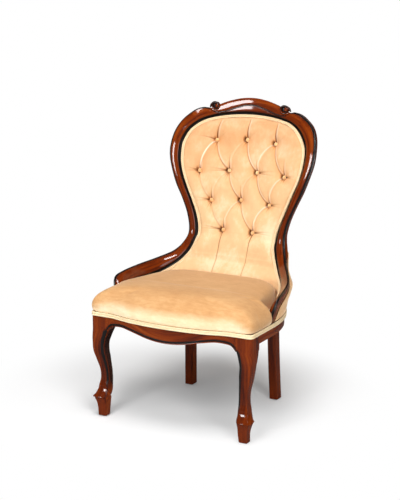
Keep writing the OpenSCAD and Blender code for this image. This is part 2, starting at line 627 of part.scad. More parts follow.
// The padding is full above the waist and thin in the tub
function fullness(z) = max(0.1, min(1, (share_of(z) + 0.2) / 0.35));
function swell(x, z, t) = max(0.25, fullness(z)) * pad_swell * (1 - pow(abs(t), 4)) - min(tuft(x, z), tuft_d);
function backing(z, t) = pad_edge_t + fullness(z) * (pad_t - pad_edge_t) * (1 - pow(abs(t), 3));
function pad_front(x, z, t, full = 1) = [x, hollow_y(x, z), z] - hollow_normal(x, z) * swell(x, z, t) * full;
function pad_back(x, z, t) = [x, hollow_y(x, z), z] + hollow_normal(x, z) * backing(z, t);

pad_cols = 22;
pad_rows = concat([for (i = [0 : steps : sweep_end + 2 * steps]) i],
    [for (i = [sweep_end + 2 * steps + 2 : 2 : shoulder]) i]);
// How a row spreads its columns: towards the sides low down, evenly higher up
function spread(t, z) = let (q = share_of(z) < 0 ? 2.5 : max(1, 2.5 - share_of(z) * 12))
    sign(t) * (1 - pow(1 - abs(t), q));
function arch_share(z) = pow(max(0, (z - height(0.25)) / (shoulder_z - height(0.25))), 1.5);
arch_rise = inner[frame_end][2] - pipe_room - shoulder_z;
// One point of the padding: row i, column j, on the front or the back
function pad_point(i, j, face) = let (e = pad_edge(i), t = 2 * j / pad_cols - 1,
        low = max(e[2], cushion_z + soft_gap),
        z = low + arch_rise * arch_share(low) * (1 - pow(abs(t), 3)),
        x = lookup(low, edge_x_table) * spread(t, low),
        p = face == 0 ? pad_front(x, z, t, 1 - pow(i / shoulder, 20)) : pad_back(x, z, t))
    [p[0], p[1], max(p[2], cushion_z + soft_gap)];

function button_spot(b) = pad_front(b[0], b[1], 0);
module button_seats(gap) {
    for (b = buttons)
        aim(button_spot(b), -hollow_normal(b[0], b[1]))
            cylinder(r = button_r + gap, h = tuft_d * 2, $fn = 16);
}

module back_cushion() {
    color(cloth) in_place() difference() {
        slab([for (i = pad_rows) [for (j = [0 : pad_cols]) pad_point(i, j, 0)]],
            [for (i = pad_rows) [for (j = [0 : pad_cols]) pad_point(i, j, 1)]]);
        button_seats(soft_gap);
    }
}

module back_buttons() {
    color(cloth) in_place() for (b = buttons)
        aim(button_spot(b), -hollow_normal(b[0], b[1])) translate([0, 0, soft_gap]) intersection() {
            cylinder(r = button_r, h = button_t, $fn = 32);
            translate([0, 0, button_t - button_r * 1.5]) sphere(r = button_r * 1.5, $fn = 48);
        }
}

module back_webbing() {
    half_web = web_w / 2;
    color(jute) in_place() {
        for (s = [0.18, 0.34, 0.5, 0.66]) {
            z = height(s);
            rows = [for (dz = [-half_web, 0, half_web]) [for (k = [-8 : 8])
                let (x = k / 8 * lookup(z + dz, edge_x_table), t = k / 8)
                [x, hollow_y(x, z + dz), z + dz] + hollow_normal(x, z + dz) * (backing(z, t) + web_t / 2)]];
            slab(rows, [for (r = rows) [for (p = r) p + [0, web_t, 0]]]);
        }
    }
}

// Piping between the wood's inner edge and the padding
pipe_sides = 6;
function pipe_ring(i) = let (across = unit(outer[i] - inner[i]), face = frame_face(i),
        c = inner[i] - across * (pipe_r + soft_gap) - face * cove_d / 2)
    [for (k = [0 : pipe_sides - 1]) let (a = k * 360 / pipe_sides)
        c + pipe_r * (-across * cos(a) + face * sin(a))];
module back_piping() {
    first = steps;
    color(cream) in_place() loft(concat([for (i = [first : frame_end]) pipe_ring(i)],
        [for (i = [frame_end - 1 : -1 : first]) [for (p = pipe_ring(i)) flip(p)]]));
}

// Outside cover: from the backs of the stiles and the crest down to the seat's piping
cover_in = wood_t / 3;
cover_cols = 20;
cover_rows = [for (i = [0 : steps : stile_end - steps]) i];
cover_low_z = rail_top_z + welt_h * 0.4 + soft_gap * 2;
// How far back the foot of a sweep leans for each unit of height
foot_lean = (outer_back(steps)[1] - outer_back(0)[1]) / (outer_back(steps)[2] - outer_back(0)[2]);
function cover_edge(i) = outer_back(i)
    + [0, soft_gap * 3 + (i == 0 ? foot_lean * (cover_low_z - rail_top_z) : 0), 0]
    + (i < sweep_end ? [0, 0, -soft_gap * 3]
        : unit(inner_back(i) - outer_back(i)) * cover_in * min(1, (i - sweep_end) / steps));
back_room = max(wood_t, pad_t + web_t * 3) + soft_gap;
function cover_mid_y(z) = share_of(z) > 0.06 ? back_mid_y(z) + back_room
    : let (s = (z - rail_top_z) / (height(0.06) - rail_top_z))
        (frame_back_y + welt_t / 3) * (1 - s) + (back_mid_y(height(0.06)) + back_room) * s;
// Share of the cover's forward turn that it has made at a share of its width: like the seat
// frame's low down, and like the back higher up
nudge_share = 0.004;
function cover_turn(s, z) = let (low = max(0, min(1, (waist_z - z) / (waist_z - rail_top_z))))
    low * (frame_back_y - plan_y(min(abs(s), 1) * half_w, outer_line)) / (frame_back_y - frame_turn_y)
        + (1 - low) * pow(abs(s), lookup(share_of(z), cover_turn_shares));
cover_rise = outer[frame_end][2] - outer[shoulder][2] - wood_t * 0.6;
// Height of the crest's top edge at a distance from the middle
function crest_top_z(x) = lookup(x, [for (i = [frame_end : -1 : shoulder]) [outer[i][0], outer[i][2]]]);
function cover_arch(i, low, t) = i > sweep_end
    ? cover_rise * arch_share(min(low, shoulder_z)) * (1 - pow(abs(t), 3)) : 0;
function cover_point(i, j, out) = let (e = cover_edge(i), t = 2 * j / cover_cols - 1,
        low = max(e[2], cover_low_z), s = spread(t, low), x = e[0] * s,
        z = min(low + cover_arch(i, low, t), crest_top_z(abs(x)) - cover_in),
        drop = cover_mid_y(low) - e[1],
        y = cover_mid_y(z) - drop * cover_turn(s, low),
        slope = drop * (cover_turn(abs(s) + nudge_share, low) - cover_turn(abs(s) - nudge_share, low))
            / (2 * nudge_share * e[0]),
        out_way = unit([sign(t) * slope, 1, 0]))
    [x, y, z] + out_way * out;
module outside_back_cover() {
    color(cloth) in_place()
        slab([for (i = cover_rows) [for (j = [0 : cover_cols]) cover_point(i, j, 0)]],
            [for (i = cover_rows) [for (j = [0 : cover_cols]) cover_point(i, j, cover_t)]]);
}

// Plan of the seat frame's outside on the right, from the middle of the front round to the back
function frame_plan() = concat([for (r = bow_shares) [r[0] * rail_in_x, bow_y(r[0] * rail_in_x)]],
    [[half_w - block_ease, block_front_y], [half_w, block_front_y + block_ease], [half_w, block_back_y]],
    plan_curve(outer_line, 0));
function closed(list) = concat(list, [for (p = reversed(list)) if (p[0] > 0.001 * half_w) [-p[0], p[1]]]);
// The same closed plan, moved out along its normals
function grown(list, d) = [for (i = [0 : len(list) - 1])
    let (run = unit(list[(i + 1) % len(list)] - list[(i + len(list) - 1) % len(list)]))
    list[i] + [run[1], -run[0]] * d];

module seat_piping() {
    plan = closed(frame_plan());
    color(cream) in_place() translate([0, 0, rail_top_z + welt_h * 0.4 - welt_h])
        linear_extrude(height = welt_h) difference() {
            polygon(grown(plan, soft_gap + welt_t));
            polygon(grown(plan, soft_gap));
        }
}

seat_centre = [0, frame_turn_y * 0.8];
notch_y = outer[0][1] - soft_gap * 4;
lining_x = lookup(cushion_z, edge_x_table) - pad_swell * 0.4 - soft_gap;
lining_y = back_mid_y(cushion_z) - pad_swell * 0.4 - soft_gap;
lining_turn_y = outer[0][1] + wood_t / 2;
back_lean = (back_mid_y(height(-0.4)) - back_mid_y(cushion_z)) / (height(-0.4) - cushion_z);
// Plan of the cushion on the right, from the middle of the front round to the middle of the back
function cushion_plan() = concat(
    [for (r = bow_shares) [r[0] * rail_in_x, bow_y(r[0] * rail_in_x) - welt_t]],
    [[half_w - block_w * 0.25, block_front_y - welt_t / 2], [half_w, block_front_y + welt_t],
        [half_w + soft_gap * 5, block_y], [half_w + soft_gap * 5, block_back_y],
        [half_w + soft_gap * 5, (block_back_y + notch_y) / 2], [half_w + soft_gap * 5, notch_y],
        [lining_x, notch_y]],
    [for (k = [0 : 10]) let (s = 1 - pow(k / 10, 2))
        [lining_x * s, lining_y - (lining_y - lining_turn_y) * pow(s, 8)]]);
module seat_cushion() {
    plan = closed(cushion_plan());
    swell_share = seat_swell / half_w;
    color(cloth) in_place() loft([for (r = seat_shares) [for (p = plan)
        let (in_tub = p[1] > notch_y || (p[1] == notch_y && p[0] == lining_x) ? 1 : 0,
            k = in_tub == 1 ? 1 - pow(1 - min(r[0], 1), 1.6) : min(r[0], 1 + swell_share),
            q = seat_centre + (p - seat_centre) * k,
            rise = (crown_z - cushion_z) * r[1],
            lean = max(0, (p[1] - seat_centre[1]) / (lining_y - seat_centre[1])) * back_lean * k)
        [q[0], q[1] + rise * lean, cushion_z + rise]]]);
}

module dust_cover() {
    margin = rail_t / 4;
    front = across([for (r = bow_shares) let (x = r[0] * (rail_in_x - overrun))
        [x, bow_y(x) + front_rail_t + soft_gap]]);
    side = concat([[rail_in_x - overrun, block_back_y + overrun], [half_w - margin, block_back_y + overrun]],
        plan_curve(plan_line(margin), 0));
    color("#1c1b1a") in_place() translate([0, 0, rail_low_z - soft_gap - dust_t])
        linear_extrude(height = dust_t)
        difference() {
            polygon(concat(front, side, [for (p = reversed(side)) if (p[0] > soft_gap) [-p[0], p[1]]]));
            for (k = [-1, 1]) translate([k * rear_head_x, rear_head_y])
                square([rear_leg_w + overrun * 2, rear_leg_d + overrun * 2], center = true);
        }
}

// Nail of a glide, with a gap round it where it cuts its hole
module glide_nail(gap) {
    cylinder(r = screw_r / 2 + gap, h = glide_h + glide_nail_l + gap, $fn = 24);
}

module glide(spot) {
    color(steel) in_place() translate(spot) {
        rotate_extrude($fn = 48) polygon([[0, 0], [glide_r * 0.7, 0], [glide_r * 0.92, glide_h * 0.4],
            [glide_r, glide_h], [0, glide_h]]);
        glide_nail(0);
    }
}

// The chair stands over the middle of its own outline
front_y = seat_centre[1] - (seat_centre[1] + welt_t - bow_y(0)) * (1 + seat_swell / half_w);
back_y = cover_point(shoulder, cover_cols / 2, cover_t)[1];
module in_place() {
    translate([0, -(front_y + back_y) / 2, 0]) children();
}

crest_rail();
back_stile(-1);  // back_stile_left
back_stile(1);  // back_stile_right
side_sweep(-1);  // side_sweep_left
side_sweep(1);  // side_sweep_right
front_leg(-1);  // front_leg_left
front_leg(1);  // front_leg_right
rear_leg(-1);  // rear_leg_left
rear_leg(1);  // rear_leg_right
front_seat_rail();
side_seat_rail(-1);  // side_seat_rail_left
side_seat_rail(1);  // side_seat_rail_right
back_seat_rail();
front_corner_block(-1);  // corner_block_front_left
front_corner_block(1);  // corner_block_front_right
rear_corner_block(-1);  // corner_block_rear_left
rear_corner_block(1);  // corner_block_rear_right
corner_block_screws();
seat_frame_dowels();
back_frame_dowels();
back_tacking_rail();
seat_webbing();
seat_deck();
seat_cushion();
seat_piping();
back_webbing();
back_cushion();
back_buttons();
back_piping();
outside_back_cover();
dust_cover();
glide([-foot_x, 0, 0]);  // glide_front_left
glide([foot_x, 0, 0]);  // glide_front_right
glide([-rear_foot[0], rear_foot[1], 0]);  // glide_rear_left
glide(rear_foot);  // glide_rear_right
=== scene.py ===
"""Balloon back chair with a buttoned back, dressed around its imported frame."""
from math import atan2, cos, exp, hypot, pi, radians, sin

import bmesh
import bpy
import numpy as np
from mathutils import Euler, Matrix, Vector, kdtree


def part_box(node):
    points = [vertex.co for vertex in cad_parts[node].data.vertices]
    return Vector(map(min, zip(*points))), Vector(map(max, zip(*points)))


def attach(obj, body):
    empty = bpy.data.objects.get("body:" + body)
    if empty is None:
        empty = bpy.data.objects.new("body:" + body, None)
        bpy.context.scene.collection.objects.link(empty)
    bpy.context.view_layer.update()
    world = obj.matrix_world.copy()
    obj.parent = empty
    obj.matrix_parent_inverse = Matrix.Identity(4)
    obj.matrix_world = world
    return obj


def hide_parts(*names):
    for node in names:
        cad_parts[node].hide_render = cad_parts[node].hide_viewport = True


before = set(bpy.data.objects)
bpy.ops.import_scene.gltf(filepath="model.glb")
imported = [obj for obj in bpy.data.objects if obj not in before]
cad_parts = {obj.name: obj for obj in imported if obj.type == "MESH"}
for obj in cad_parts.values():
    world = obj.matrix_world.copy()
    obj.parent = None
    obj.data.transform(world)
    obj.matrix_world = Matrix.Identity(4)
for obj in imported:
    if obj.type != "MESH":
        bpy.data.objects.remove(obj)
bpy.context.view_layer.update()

# The drawing is in millimetres, with depth counted back from the front feet
MM = 0.001
foot_low, foot_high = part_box("glide_front_right")
SET_BACK = (foot_low[1] + foot_high[1]) / 2
SIDES = (("right", False), ("left", True))

# ---------------------------------------------------------------- camera
CAMERA_AT = (1.8333, -3.1565 + SET_BACK, 1.3783)
CAMERA_YAW = 28.84
CAMERA_DIP = 12.75
FOCAL_PX = 1277.9
FRAME_LONG_PX = 500
SENSOR_MM = 36
camera_data = bpy.data.cameras.new("studio_camera")
camera_data.sensor_width = SENSOR_MM
camera_data.lens = FOCAL_PX / FRAME_LONG_PX * SENSOR_MM
camera = bpy.data.objects.new("studio_camera", camera_data)
camera.location = CAMERA_AT
camera.rotation_euler = Euler((radians(90 - CAMERA_DIP), 0, radians(CAMERA_YAW)))
bpy.context.scene.collection.objects.link(camera)
bpy.context.scene.camera = camera
bpy.context.scene.view_settings.view_transform = "Standard"


# ---------------------------------------------------------------- small helpers
def linear(hex_colour):
    """An sRGB hex colour as the linear colour that a shader takes."""
    channels = [int(hex_colour[i:i + 2], 16) / 255 for i in (1, 3, 5)]
    return tuple(c / 12.92 if c <= 0.04045 else ((c + 0.055) / 1.055) ** 2.4 for c in channels) + (1.0,)


def wire(tree, node, links):
    """Links or sets a node's inputs. A node given as a value stands for its first output."""
    for socket, value in links.items():
        if isinstance(value, bpy.types.Node):
            value = value.outputs[0]
        if isinstance(value, bpy.types.NodeSocket):
            tree.links.new(value, node.inputs[socket])
        else:
            node.inputs[socket].default_value = value
    return node


def put(tree, kind, links=None, stops=(), **settings):
    """Adds a node with its settings and colour stops, and links or sets its inputs."""
    made = tree.nodes.new(kind if "Node" in kind else "ShaderNode" + kind)
    for name, value in settings.items():
        setattr(made, name, value)
    if stops:
        elements = made.color_ramp.elements
        while len(elements) < len(stops):
            elements.new(0.5)
        for element, (place, colour) in zip(elements, stops):
            element.position, element.color = place, linear(colour)
    return wire(tree, made, links or {})


def spline(rows, n):
    """A smooth curve through rows of numbers, with n steps between two of them."""
    rows = np.asarray(rows, float)
    held = np.concatenate([rows[:1], rows, rows[-1:]])
    t = np.arange(n)[:, None] / n
    bends = [(2 * b + (c - a) * t + (2 * a - 5 * b + 4 * c - d) * t * t + (3 * b - a - 3 * c + d) * t ** 3) / 2
             for a, b, c, d in zip(held, held[1:], held[2:], held[3:])]
    return np.concatenate(bends + [rows[-1:]])


def unit(v):
    v = np.asarray(v, float)
    return v / np.maximum(np.linalg.norm(v, axis=-1, keepdims=True), 1e-9)


def smooth(x, low, high):
    """0 below low, 1 above high, and an even curve between."""
    s = np.clip((np.asarray(x, float) - low) / (high - low), 0, 1)
    return s * s * (3 - 2 * s)


def length_along(points):
    """How far along a line each of its points lies."""
    return np.concatenate([[0], np.cumsum(np.linalg.norm(np.diff(points, axis=0), axis=1))])


def placed(points):
    """Drawing points in the frame's metres."""
    return (np.asarray(points, float) + [0, SET_BACK / MM, 0]) * MM


def hang(made):
    bpy.context.scene.collection.objects.link(made)
    return made


def shade_smooth(mesh):
    mesh.polygons.foreach_set("use_smooth", np.ones(len(mesh.polygons), bool))


def set_tone(mesh, tone, values):
    mesh.attributes.new(tone, "FLOAT", "POINT").data.foreach_set("value", np.asarray(values, np.float32))


def raise_mesh(name, points, faces, material, uv, tones, crease_deg):
    """A mesh object from drawing points, with its pattern map and its tones per point."""
    mesh = bpy.data.meshes.new(name)
    mesh.from_pydata(placed(points).tolist(), [], faces)
    mesh.uv_layers.new(name="lay").data.foreach_set("uv", np.asarray(uv, np.float32).ravel())
    for tone, values in tones.items():
        set_tone(mesh, tone, values)
    mesh.materials.append(material)
    shade_smooth(mesh)
    shell = bmesh.new()
    shell.from_mesh(mesh)
    bmesh.ops.recalc_face_normals(shell, faces=shell.faces)
    shell.to_mesh(mesh)
    shell.free()
    mesh.update()
    if crease_deg:
        mesh.set_sharp_from_angle(angle=radians(crease_deg))
    return hang(bpy.data.objects.new(name, mesh))


def loft(name, rings, material, tones=None, caps="fan", crease_deg=38, mirror=False):
    """A skin over rings of points. The map runs along the piece first, then round it, in metres.
    Its ends are closed by a fan, by one face, or by rungs across the edge of a thin sheet."""
    rings = np.asarray(rings, float) * ([-1, 1, 1] if mirror else 1)
    m, k = rings.shape[:2]
    middle = rings.mean(1)
    along = length_along(middle) * MM
    closed = np.concatenate([rings, rings[:, :1]], 1)
    round_it = np.array([length_along(ring) for ring in closed]) * MM
    i, j = np.meshgrid(np.arange(m - 1), np.arange(k), indexing="ij")
    corners = ((0, 0), (0, 1), (1, 1), (1, 0))
    quads = np.stack([(i + a) * k + (j + b) % k for a, b in corners], -1).reshape(-1, 4)
    uv = np.stack([np.stack([along[i + a], round_it[i + a, j + b]], -1) for a, b in corners], 2).reshape(-1, 2)
    points = rings.reshape(-1, 3)
    tones = {tone: np.asarray(values, float).reshape(-1) for tone, values in (tones or {}).items()}
    ends = (0, (m - 1) * k)
    if caps == "face":
        closing = [list(range(end, end + k)) for end in ends]
    elif caps == "rungs":
        closing = [[end + c, end + c + 1, end + k - 2 - c, end + k - 1 - c] for end in ends for c in range(k // 2 - 1)]
    else:
        closing = [[m * k + hub, end + c, end + (c + 1) % k] for hub, end in enumerate(ends) for c in range(k)]
        points = np.concatenate([points, [middle[0], middle[-1]]])
        tones = {tone: np.concatenate([v, [v[:k].mean(), v[-k:].mean()]]) for tone, v in tones.items()}
    uv = np.concatenate([uv, [[p[0] + p[1], p[2]] for face in closing for p in points[face] * MM]])
    return raise_mesh(name, points, quads.tolist() + closing, material, uv, tones, crease_deg)


def join(name, pieces):
    """Makes one piece of several."""
    for piece in bpy.context.selected_objects:
        piece.select_set(False)
    for piece in pieces:
        piece.select_set(True)
    bpy.context.view_layer.objects.active = pieces[0]
    bpy.ops.object.join()
    pieces[0].name = name
    return pieces[0]


def finish_piece(piece, slot, *nodes):
    """Hides the parts that a piece stands in for and hangs it on the root; its slot is not used."""
    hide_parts(*nodes)
    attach(piece, "root")
    return piece


# ---------------------------------------------------------------- materials
def new_material(name, finish):
    """A material with one plain shader, and the numbers of its finish set on it."""
    material = bpy.data.materials.new(name)
    material.use_nodes = True
    tree = material.node_tree
    tree.nodes.clear()
    shader = put(tree, "BsdfPrincipled", finish)
    put(tree, "OutputMaterial", {"Surface": shader})
    return material, tree, shader


def mahogany(name, from_map=True, dark="#36100A", middle="#702A08", light="#924210"):
    """Polished mahogany, stained red-brown and French polished: long streaks, short dark pores
    and a deep gloss. Its dark tone ebonises the mouldings and paints shade on some sides and hollows."""
    material, tree, shader = new_material(name, {"IOR": 1.5, "Specular IOR Level": 0.0, "Coat Weight": 0.8,
                                                 "Coat Roughness": 0.08})
    # waves in a metre along the grain and across it: streaks, pores, and the clouding of the stain
    place = put(tree, "UVMap", uv_map="lay") if from_map else put(tree, "TexCoord").outputs["Object"]
    streaks, pores, clouds = (
        put(tree, "Mapping", {"Vector": place, "Scale": (long, wide, wide) if from_map else (wide, wide, long)})
        for long, wide in ((5, 90), (70, 900), (3, 12)))
    grain = put(tree, "TexNoise", {"Vector": streaks, "Scale": 1.0, "Detail": 6.0, "Roughness": 0.6,
                                   "Distortion": 0.6})
    cloud = put(tree, "TexNoise", {"Vector": clouds, "Scale": 1.0, "Detail": 2.0})
    pore = put(tree, "TexNoise", {"Vector": pores, "Scale": 1.0, "Detail": 1.0})
    both = put(tree, "Math", {0: grain, 1: cloud}, operation="ADD")
    half = put(tree, "Math", {0: both, 1: 0.5}, operation="MULTIPLY")
    wood = put(tree, "ValToRGB", {"Fac": half}, ((0.37, dark), (0.5, middle), (0.64, light)))
    fleck = put(tree, "MapRange", {"Value": pore, "From Min": 0.62, "From Max": 0.75, "To Max": 0.55})
    flecked = put(tree, "Mix", {0: fleck, 6: wood, 7: linear("#1E0A05")}, data_type="RGBA").outputs[2]
    ebony_and_shade = put(tree, "Attribute", attribute_name="ebony_and_shade").outputs["Fac"]
    colour = put(tree, "Mix", {0: ebony_and_shade, 6: flecked, 7: linear("#151110")}, data_type="RGBA").outputs[2]
    rough = put(tree, "MapRange", {"Value": grain, "From Min": 0.2, "From Max": 0.8, "To Min": 0.28,
                                   "To Max": 0.42})
    satin = put(tree, "MapRange", {"Value": ebony_and_shade, "To Min": 0.08, "To Max": 0.3})
    bump = put(tree, "Bump", {"Height": pore, "Strength": 0.05, "Distance": 0.0004})
    wire(tree, shader, {"Base Color": colour, "Roughness": rough, "Coat Roughness": satin, "Normal": bump})
    return material


def velvet(name, low="#E6AC74", middle="#EFBE8A", high="#F4D0A2", fold="#6E3A14", streak=(18, 60, 60),
           top=None, brush=1.0):
    """Short cotton velvet: a soft pile that shades in patches where it was brushed and glows at grazing
    edges. Its tones paint shade on it, darker on top, orange in its dips and orange-brown deep in its
    folds, and a highlight along its ridges."""
    material, tree, shader = new_material(name, {"Roughness": 0.85, "Sheen Weight": 0.6, "Sheen Roughness": 0.35,
                                                 "Sheen Tint": linear("#FFEBD0"), "Specular IOR Level": 0.2})
    place = put(tree, "TexCoord").outputs["Object"]
    patches = put(tree, "TexNoise", {"Vector": place, "Scale": 12.0, "Detail": 4.0, "Roughness": 0.55,
                                     "Distortion": 0.4})
    lay = put(tree, "Mapping", {"Vector": place, "Scale": streak})
    strokes = put(tree, "TexNoise", {"Vector": lay, "Scale": 2.2, "Detail": 4.0, "Roughness": 0.65})
    brushed = put(tree, "Math", {0: strokes, 1: brush}, operation="MULTIPLY")
    both = put(tree, "Math", {0: patches, 1: brushed}, operation="ADD")
    half = put(tree, "Math", {0: both, 1: 1 / (1 + brush)}, operation="MULTIPLY")
    colour, shaded_top_ramp = (put(tree, "ValToRGB", {"Fac": half}, tuple(zip((0.34, 0.5, 0.66), colours)))
                    for colours in ((low, middle, high), top or (low, middle, high)))
    # each tone of the mesh lays painted shade or a painted highlight over the pile
    for tone, paint in (("shaded_top", shaded_top_ramp), ("shade", linear("#D98A45")), ("fold", None), ("ridge_highlight", linear("#FFF3DC"))):
        mask = put(tree, "Attribute", attribute_name=tone).outputs["Fac"]
        paint = paint or put(tree, "ValToRGB", {"Fac": mask}, ((0.35, fold), (0.95, "#4A220C")))
        colour = put(tree, "Mix", {0: mask, 6: colour, 7: paint}, data_type="RGBA").outputs[2]
    pile = put(tree, "TexNoise", {"Vector": place, "Scale": 900.0, "Detail": 2.0})
    bump = put(tree, "Bump", {"Height": pile, "Strength": 0.25, "Distance": 0.0006})
    wire(tree, shader, {"Base Color": colour, "Normal": bump})
    return material


def plain_weave(name, light, dark, thread_mm, bump_strength=0.5):
    """A plain woven cloth, drawn from two crossing waves of threads."""
    material, tree, shader = new_material(name, {"Roughness": 0.9})
    place = put(tree, "TexCoord").outputs["Object"]
    threads = {"Vector": place, "Scale": 1 / (thread_mm * MM) / 2, "Distortion": 0.6, "Detail": 1.0}
    warp, weft = (put(tree, "TexWave", threads, bands_direction=way).outputs["Fac"] for way in "XY")
    tied = put(tree, "Math", {0: warp, 1: weft}, operation="MULTIPLY")
    slub = put(tree, "TexNoise", {"Vector": place, "Scale": 60.0, "Detail": 3.0})
    tone = put(tree, "Math", {0: tied, 1: slub}, operation="ADD")
    half = put(tree, "Math", {0: tone, 1: 0.55}, operation="MULTIPLY")
    cloth = put(tree, "ValToRGB", {"Fac": half}, ((0.15, dark), (0.7, light)))
    bump = put(tree, "Bump", {"Height": tied, "Strength": bump_strength, "Distance": 0.0005})
    wire(tree, shader, {"Base Color": cloth, "Normal": bump})
    return material


def plated_steel(name, colour, rough, wear):
    """Zinc plated steel, dulled by handling: a fine haze in its gloss."""
    material, tree, shader = new_material(name, {"Base Color": linear(colour), "Metallic": 1.0})
    haze = put(tree, "TexNoise", {"Vector": put(tree, "TexCoord").outputs["Object"], "Scale": 300.0, "Detail": 4.0})
    worn = put(tree, "MapRange", {"Value": haze, "To Min": rough, "To Max": rough + wear})
    wire(tree, shader, {"Roughness": worn})
    return material


polished = mahogany("polished_mahogany")
beech = mahogany("raw_beech", from_map=False, dark="#A9824F", middle="#C9A66B", light="#D8BA84")
stained = mahogany("stained_beech", from_map=False, dark="#4A1F0C", middle="#6E3412", light="#8C4A1E")
# each velvet's top colours are painted shade, for a top that gets less light than the front
seat_velvet = velvet("seat_velvet", low="#EFCB9F", middle="#F4D8AF", high="#F8E3C3",
                     top=("#C28F5C", "#CC9A66", "#D6A875"))
back_velvet = velvet("back_velvet", low="#E2B486", middle="#E5BE8E", high="#EFD2AB", fold="#A96830",
                     streak=(50, 50, 26), brush=0.35, top=("#CE9664", "#D6A172", "#E0B48A"))
# the buttons wear the back's velvet, painted darker and more orange as shade of the pits they sit in
shaded_button_velvet = velvet("shaded_button_velvet", low="#DBA469", middle="#E6B57D", high="#F0CA9A", streak=(60, 60, 60))
cover_velvet = velvet("outside_velvet")
cord_cotton = plain_weave("piping_cotton", "#FAE8C8", "#E6CB98", 1.2, bump_strength=0.2)
back_cord = plain_weave("back_piping_cotton", "#F4DAB2", "#E0BE90", 1.2, bump_strength=0.2)
jute = plain_weave("jute_webbing", "#B8945C", "#7F6238", 2.0)
hessian = plain_weave("hessian", "#C4A472", "#8D6F45", 1.6)
dust_cloth = plain_weave("dust_cloth", "#2A2725", "#121110", 1.0)
steel = plated_steel("zinc_plated_steel", "#C9C9C4", 0.3, 0.25)

# ---------------------------------------------------------------- drawing of the chair
HALF_W, SEAT_D, CHAIR_H = 270.0, 400.0, 950.0
RAIL_TOP, WAIST = 330.0, 450.0
WOOD_T, COVE, EDGE_COVE, SWELL = 25.0, 9.0, 5.5, 2.4
# Points that a smooth curve gets for each of its rows
ROW_STEPS = 8

# The back frame's two edges from the foot up: shares of half the width and of the seat's depth, and
# height from the waist, where -1 is the rails' top and 1 the crest's
sweep_outer = [[0.992, 0.275, -1], [1.022, 0.288, -0.65], [1.048, 0.335, -0.33], [1.03, 0.455, -0.225],
               [0.972, 0.62, -0.15], [0.867, 0.76, -0.06], [0.756, 0.885, 0.016], [0.704, 0.945, 0.046],
               [0.685, 0.968, 0.064]]
sweep_inner = [[0.926, 0.29, -1], [0.93, 0.31, -0.733], [0.941, 0.38, -0.583], [0.904, 0.5, -0.525],
               [0.837, 0.645, -0.467], [0.752, 0.78, -0.367], [0.648, 0.88, -0.167], [0.581, 0.94, 0.012],
               [0.552, 0.963, 0.046]]
stile_outer = [[0.659, 0.998, 0.096], [0.641, 1.015, 0.13], [0.641, 1.023, 0.18], [0.678, 1.033, 0.26],
               [0.748, 1.038, 0.35], [0.83, 1.038, 0.44], [0.9, 1.05, 0.54], [0.943, 1.068, 0.62],
               [0.952, 1.095, 0.694], [0.93, 1.14, 0.776], [0.867, 1.185, 0.844], [0.763, 1.21, 0.894]]
stile_inner = [[0.526, 0.99, 0.092], [0.515, 1.02, 0.128], [0.524, 1.038, 0.182], [0.561, 1.053, 0.252],
               [0.622, 1.059, 0.334], [0.691, 1.058, 0.422], [0.763, 1.068, 0.518], [0.8, 1.085, 0.602],
               [0.806, 1.115, 0.69], [0.778, 1.14, 0.744], [0.722, 1.163, 0.794], [0.637, 1.198, 0.832]]
crest_outer = [[0.681, 1.223, 0.92], [0.596, 1.233, 0.93], [0.522, 1.25, 0.924], [0.459, 1.258, 0.934],
               [0.385, 1.268, 0.956], [0.274, 1.278, 0.977], [0.141, 1.29, 0.994], [0, 1.295, 1]]
crest_inner = [[0.563, 1.22, 0.852], [0.504, 1.238, 0.862], [0.448, 1.245, 0.87], [0.393, 1.254, 0.876],
               [0.333, 1.26, 0.881], [0.244, 1.27, 0.887], [0.13, 1.276, 0.892], [0, 1.28, 0.894]]
# How the edges at its back lie off those at its face, in thicknesses of the wood
sweep_outer_back = [[0, 1, 0], [-0.2, 1.36, -0.84], [-0.5, 1.45, -1.6], [-0.3, 0.9, -1.3], [-0.1, 0.4, -1.05],
                    [0, 0.5, -0.95], [0, 0.68, -0.72], [0, 0.9, -0.4], [0, 1, -0.08]]
sweep_inner_back = [[0, 1, 0], [0.1, 1, -0.4], [0.15, 0.8, -0.6], [0.3, 0.35, -0.45], [0.35, 0.3, -0.45],
                    [0.35, 0.4, -0.45], [0.2, 0.65, -0.45], [0.1, 0.9, -0.3], [0, 1, -0.08]]
# Height from the waist, with the depth of the back's middle line, and how squarely the hollow and
# the outside cover turn forward at their sides
back_line = [[-1, 0.82], [-0.875, 0.833], [-0.583, 0.858], [-0.467, 0.872], [-0.333, 0.892], [-0.167, 0.935],
             [-0.083, 0.96], [0, 0.978], [0.02, 0.992], [0.06, 1.012], [0.08, 1.022], [0.14, 1.055], [0.2, 1.08],
             [0.26, 1.098], [0.32, 1.111], [0.38, 1.122], [0.44, 1.133], [0.5, 1.146], [0.56, 1.16], [0.62, 1.18],
             [0.68, 1.205], [0.74, 1.224], [0.8, 1.243], [0.86, 1.275], [1, 1.305]]
back_turn = [[-1, 8], [-0.467, 8], [-0.333, 5.5], [-0.167, 3], [0, 2.2], [0.03, 2], [1, 2]]
cover_turn_rows = [[-1, 6], [-0.45, 6], [-0.1, 8], [0.04, 8], [0.07, 5], [0.12, 3], [0.17, 2], [1, 2]]
